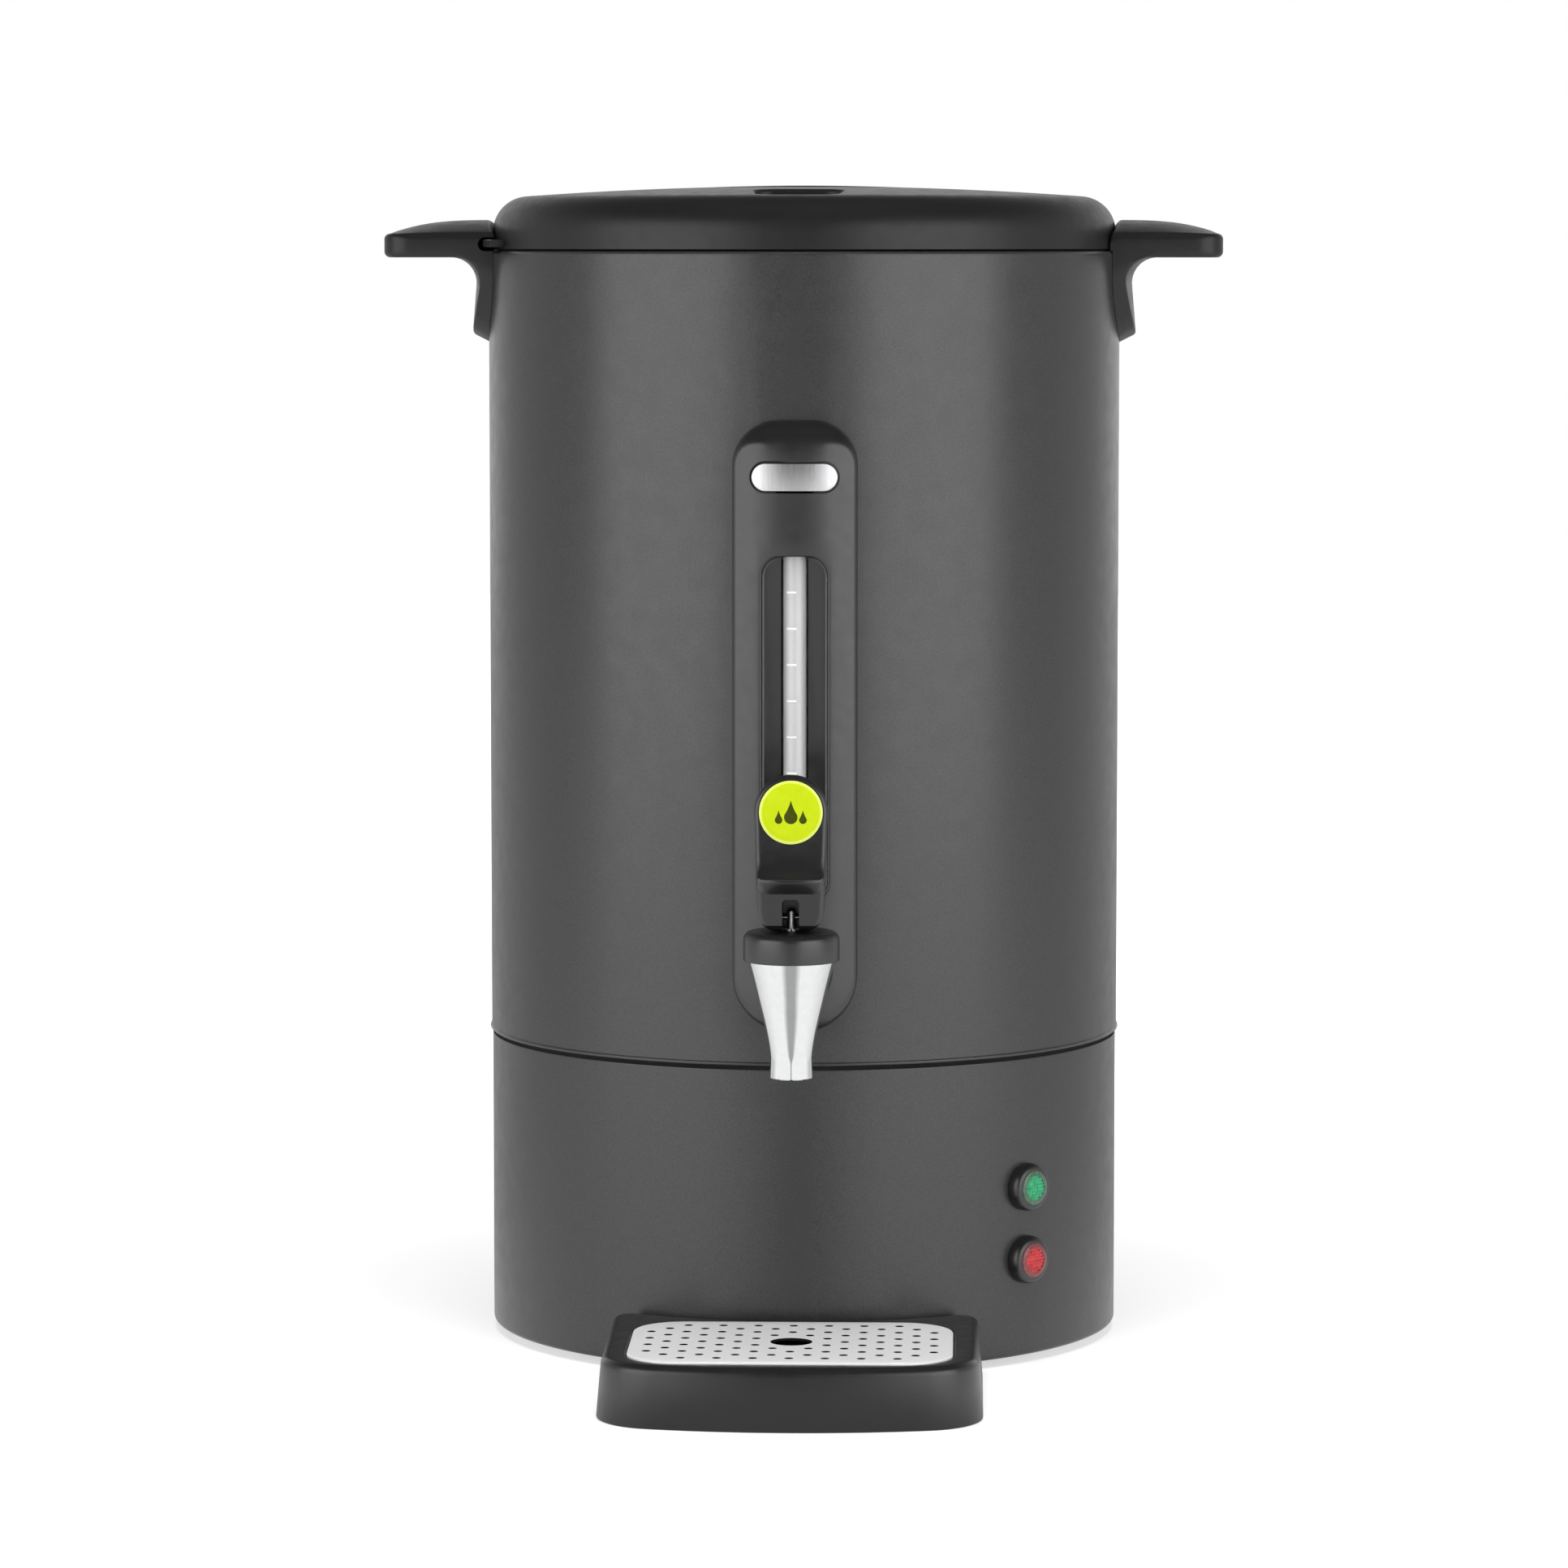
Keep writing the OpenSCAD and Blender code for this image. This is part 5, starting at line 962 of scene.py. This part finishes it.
# Mains switch and cord gland at the rear: stock black mouldings.
# The switch snaps into its pad on the base; a nut inside holds the gland.
dress(moulded, "switch_frame", "switch_rocker", "cord_gland", "gland_nut")

# Drip tray: one black moulding that stands loose on the counter, hollow at the back
# to follow the base. The perforated plate is stainless sheet with a turned-down rim;
# it rests on a ledge and lifts out by the finger hole. The walls of its holes are
# painted shade: near black and dull.
tray_w, tray_rear, tray_front = 172, 150.3, 276
tray_front_r, tray_rear_r = 30, 10
tray_h, tray_draft, tray_fillet, tray_floor = 28, 2, 4, 3
plate_w, plate_l, plate_r = 145, 101, 24
ledge_z, ledge_w = 24.1, 5
recess_gap, recess_edge, bowl_fillet = 0.6, 0.9, 6


def tray_loop(d, z):
    """Loop of the tray set in by d: hollow back, straight sides and a bowed front."""
    side, rear, ahead = tray_w / 2 - d, tray_rear + d, tray_front - d
    front_r, rear_r = tray_front_r - d, tray_rear_r - d
    front_mid = (side - front_r, -math.sqrt((ahead - front_r) ** 2 - (side - front_r) ** 2))
    rear_mid = (side - rear_r, -math.sqrt((rear + rear_r) ** 2 - (side - rear_r) ** 2))
    front_turn = math.degrees(math.atan2(front_mid[1], front_mid[0]))
    rear_turn = math.degrees(math.atan2(rear_mid[1], rear_mid[0]))
    half = (arc((0, 0), ahead, -90, front_turn, 16) + arc(front_mid, front_r, front_turn, 0, 14)[1:]
            + arc(rear_mid, rear_r, 0, 180 + rear_turn, 12) + arc((0, 0), rear, rear_turn, -90, 24)[1:])
    return [(x, y, z) for x, y in half + [(-x, y) for x, y in half[-2:0:-1]]]


def plate_loop(grow, z):
    """Loop of the plate's outline grown by that much."""
    reach, turn_r = plate_l / 2 + grow, plate_r + grow
    outline = panel(plate_w + 2 * grow, -reach, reach, turn_r, turn_r, 16, 2)
    return [(x, y + tap_y, z) for x, y in outline]


outside = ([tray_loop(1, 0), tray_loop(0.3, 0.3), tray_loop(0, 1)]
           + [tray_loop(tray_draft + back, tray_h - down) for back, down in rounding(tray_fillet, 8)])
inside = ([plate_loop(recess_gap + down, tray_h - back) for back, down in rounding(recess_edge, 5)]
          + [plate_loop(recess_gap, ledge_z), plate_loop(-ledge_w, ledge_z)]
          + [plate_loop(-ledge_w - back, tray_floor + down) for back, down in rounding(bowl_fillet)])
shape = bmesh.new()
borders = []
for loops, closed, brim in ((outside, 0, -1), (inside, -1, 0)):
    rows = walls(shape, loops)
    shape.faces.new(rows[closed])
    borders += [shape.edges.get((rows[brim][i - 1], rows[brim][i])) for i in range(len(rows[brim]))]
bmesh.ops.triangle_fill(shape, use_beauty=True, edges=borders)
fit(placed("tray_moulding", shape), satin, "tray", "moulded_black", "drip_tray")


def numbers(owner, operation, *values):
    """Result of an operation on numbers in a shader."""
    inputs = {f"_{i}": value for i, value in enumerate(values)}
    return node(owner, "ShaderNodeMath", operation, **inputs).outputs["Value"]


def vectors(owner, operation, *values):
    """Result of an operation on vectors in a shader."""
    inputs = {f"_{i}": value for i, value in enumerate(values)}
    done = node(owner, "ShaderNodeVectorMath", operation, **inputs)
    return done.outputs["Value" if operation == "LENGTH" else "Vector"]


plate_steel = mottled("plate_steel", grain=0.3, colours=((0.76, 0.76, 0.76), (0.86, 0.86, 0.86)), patch=0.25,
                      rough=(0.36, 0.5), stretch=rolled, Metallic=0.2)
on_plate = node(plate_steel, "ShaderNodeMapping", Vector=own_place(plate_steel),
                Location=(0, -tap_y * mm, 0), Scale=(1, 1, 0)).outputs["Vector"]
rim_start, rim_end, steep, flat = 1.6, 1.4, 0.4, 0.7
straight = Vector((plate_w / 2 - plate_r, plate_l / 2 - plate_r, 0)) * mm
past = vectors(plate_steel, "SUBTRACT", vectors(plate_steel, "ABSOLUTE", on_plate), straight)
to_rim = vectors(plate_steel, "LENGTH", vectors(plate_steel, "MAXIMUM", past, (0, 0, 0)))
inside_rim = ramped(plate_steel, to_rim, (plate_r - rim_start) * mm, (plate_r - rim_end) * mm, 1, 0)
facing = node(plate_steel, "ShaderNodeNewGeometry").outputs["Normal"]
facing_up = node(plate_steel, "ShaderNodeSeparateXYZ", Vector=facing).outputs["Z"]
# Painted shade: inside the rim, faces that stand steep (the hole walls) turn near black, dull and not
# metallic.
hole_painted_shade = numbers(plate_steel, "MULTIPLY", inside_rim, ramped(plate_steel, facing_up, steep, flat, 1, 0))
faded(plate_steel, hole_painted_shade, Base_Color=(0.004, 0.004, 0.004, 1), Metallic=0, Roughness=1)

plate_low, plate_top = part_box("drip_plate")[0].z / mm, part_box("drip_plate")[1].z / mm
plate_edge, plate_t = 1, 1.2
plate = skin("plate_sheet", [plate_loop(-plate_t, plate_low), plate_loop(0, plate_low)]
             + [plate_loop(-back, plate_top - down) for back, down in rounding(plate_edge, 5)])
hollow = skin("hollow", [plate_loop(-plate_t, plate_low - 1), plate_loop(-plate_t, plate_top - plate_t)])
hole_pitch, hole_r, finger_r = 8, 2, 9.5
finger_land, rim_land = 4, 7.5
shape = bmesh.new()
for i in range(-8, 9):
    for j in range(-6, 7):
        x, y = hole_pitch * i, hole_pitch * j
        out = math.hypot(max(abs(x) - plate_w / 2 + plate_r, 0), max(abs(y) - plate_l / 2 + plate_r, 0))
        clear = math.hypot(x, y) > finger_r + finger_land and out < plate_r - rim_land
        if i == j == 0 or (i + j) % 2 and clear:
            drill = arc((x, y + tap_y), hole_r if i or j else finger_r, 0, 345, 23)
            for end in walls(shape, [[(a, b, z) for a, b in drill] for z in (plate_low - 1, plate_top + 1)]):
                shape.faces.new(end)
shaped(plate, "DIFFERENCE", hollow, placed("drills", shape))
fit(plate, plate_steel, "plate", "bright_steel", "drip_plate")

# Floor and studio: a pale seamless floor, with two large soft boxes at the front and one overhead.
# The floor shows white to the camera and keeps the urn's soft shadow.
bpy.context.scene.view_settings.view_transform = "Standard"
floor_r = 6
floor_mesh = bpy.data.meshes.new("floor")
floor_edge = [(x, y, 0) for x, y in arc((0, 0), floor_r, 0, 355, 71)]
floor_mesh.from_pydata(floor_edge, [], [tuple(range(len(floor_edge)))])
pale = finish("pale_floor", Base_Color=(0.6, 0.6, 0.6, 1), Roughness=0.9, Specular_IOR_Level=0,
              Emission_Color=(1, 1, 1, 1))
rays = node(pale, "ShaderNodeLightPath").outputs
near_r, far_r, near_glow = 0.35, 0.9, 0.5
lift = ramped(pale, vectors(pale, "LENGTH", own_place(pale)), near_r, far_r, near_glow, 1)
shown = numbers(pale, "MULTIPLY", rays["Is Camera Ray"], lift)
feed(pale, shown, shader(pale).inputs["Emission Strength"])
spot = node(pale, "ShaderNodeSeparateXYZ", Vector=own_place(pale)).outputs
dull_half, dull_edge, dull_glow = 0.06, 0.14, 0.42
front_y, rear_y, rear_glow = -0.3, 0.3, 0.62
across = ramped(pale, numbers(pale, "ABSOLUTE", spot["X"]), dull_half, dull_edge, dull_glow, 1)
along = ramped(pale, spot["Y"], front_y, rear_y, 1, rear_glow)
sheen = node(pale, "ShaderNodeEmission", Color=(1, 1, 1, 1),
             Strength=numbers(pale, "MULTIPLY", across, along))
mixed = node(pale, "ShaderNodeMixShader", Fac=rays["Is Glossy Ray"], _1=shader(pale).outputs["BSDF"],
             _2=sheen.outputs["Emission"])
feed(pale, mixed.outputs["Shader"], pale.node_tree.nodes["Material Output"].inputs["Surface"])
floor_mesh.materials.append(pale)
added("floor", floor_mesh)

world = bpy.data.worlds.new("studio")
bpy.context.scene.world = world
world.use_nodes = True
world.node_tree.nodes.clear()
rays = node(world, "ShaderNodeLightPath").outputs
sight = node(world, "ShaderNodeTexCoord").outputs["Generated"]
direction = node(world, "ShaderNodeSeparateXYZ", Vector=sight).outputs
round_about = node(world, "ShaderNodeValToRGB", Fac=ramped(world, direction["Y"], -1, 1))
stops = round_about.color_ramp.elements
for place, shade in ((0.27, 0.03), (0.5, 0.4), (0.85, 0.55), (0.95, 1)):
    stops.new(place).color = (shade, shade, shade, 1)
stops.remove(stops[0])
stops.remove(stops[-1])
sky_low, sky_high, sky_glow, ambient_glow = 0.25, 0.7, 0.12, 0.5
overhead = ramped(world, direction["Z"], sky_low, sky_high, 1, sky_glow)
level = numbers(world, "MULTIPLY", round_about.outputs["Color"], overhead)
ambient, reflected, white = [
    node(world, "ShaderNodeBackground", Color=(1, 1, 1, 1), Strength=strength).outputs["Background"]
    for strength in (ambient_glow, level, 1)]
lit = node(world, "ShaderNodeMixShader", Fac=rays["Is Glossy Ray"], _1=ambient, _2=reflected)
backdrop = numbers(world, "MAXIMUM", rays["Is Camera Ray"], rays["Is Transmission Ray"])
studio = node(world, "ShaderNodeMixShader", Fac=backdrop, _1=lit.outputs["Shader"], _2=white)
node(world, "ShaderNodeOutputWorld", Surface=studio.outputs["Shader"])
aim_z = 0.28


def soft_box(name, turn, distance, height, width, tall, watts, mirrored=True):
    """Area lamp turned from the front by those degrees, aimed at the urn; mirrored shows it in gloss."""
    lamp = bpy.data.lights.new(name, "AREA")
    lamp.shape = "RECTANGLE"
    lamp.size = width
    lamp.size_y = tall
    lamp.energy = watts
    holder = added(name, lamp)
    turn = math.radians(turn)
    holder.location = (distance * math.sin(turn), -distance * math.cos(turn), height)
    aim = Vector((0, 0, aim_z)) - holder.location
    holder.rotation_euler = aim.to_track_quat("-Z", "Y").to_euler()
    holder.visible_glossy = mirrored


soft_box("left_box", turn=-48.5, distance=2.4, height=0.75, width=2.45, tall=1.9, watts=25)
soft_box("right_box", turn=46.5, distance=2.4, height=0.75, width=2.45, tall=1.9, watts=26)
soft_box("top_box", turn=4, distance=0.6, height=2.3, width=1.3, tall=1.3, watts=34, mirrored=False)

# Camera at the photograph's angle: almost level, a little right of the tap.
# It stands about three metres away, with a long lens.
photo_px, focal_px, axis_px = 1932, 7433, 24.9
camera_distance, camera_height = 2.8824, 0.5213
camera_turn, camera_dip = math.radians(1.535), math.radians(5.163)
lens = bpy.data.cameras.new("camera")
lens.sensor_width = 36
lens.lens = lens.sensor_width * focal_px / photo_px
camera = added("camera", lens)
camera.location = (camera_distance * math.sin(camera_turn), -camera_distance * math.cos(camera_turn),
                   camera_height)
camera.rotation_euler = (math.pi / 2 - camera_dip, 0, camera_turn + math.atan(axis_px / focal_px))
bpy.context.scene.camera = camera
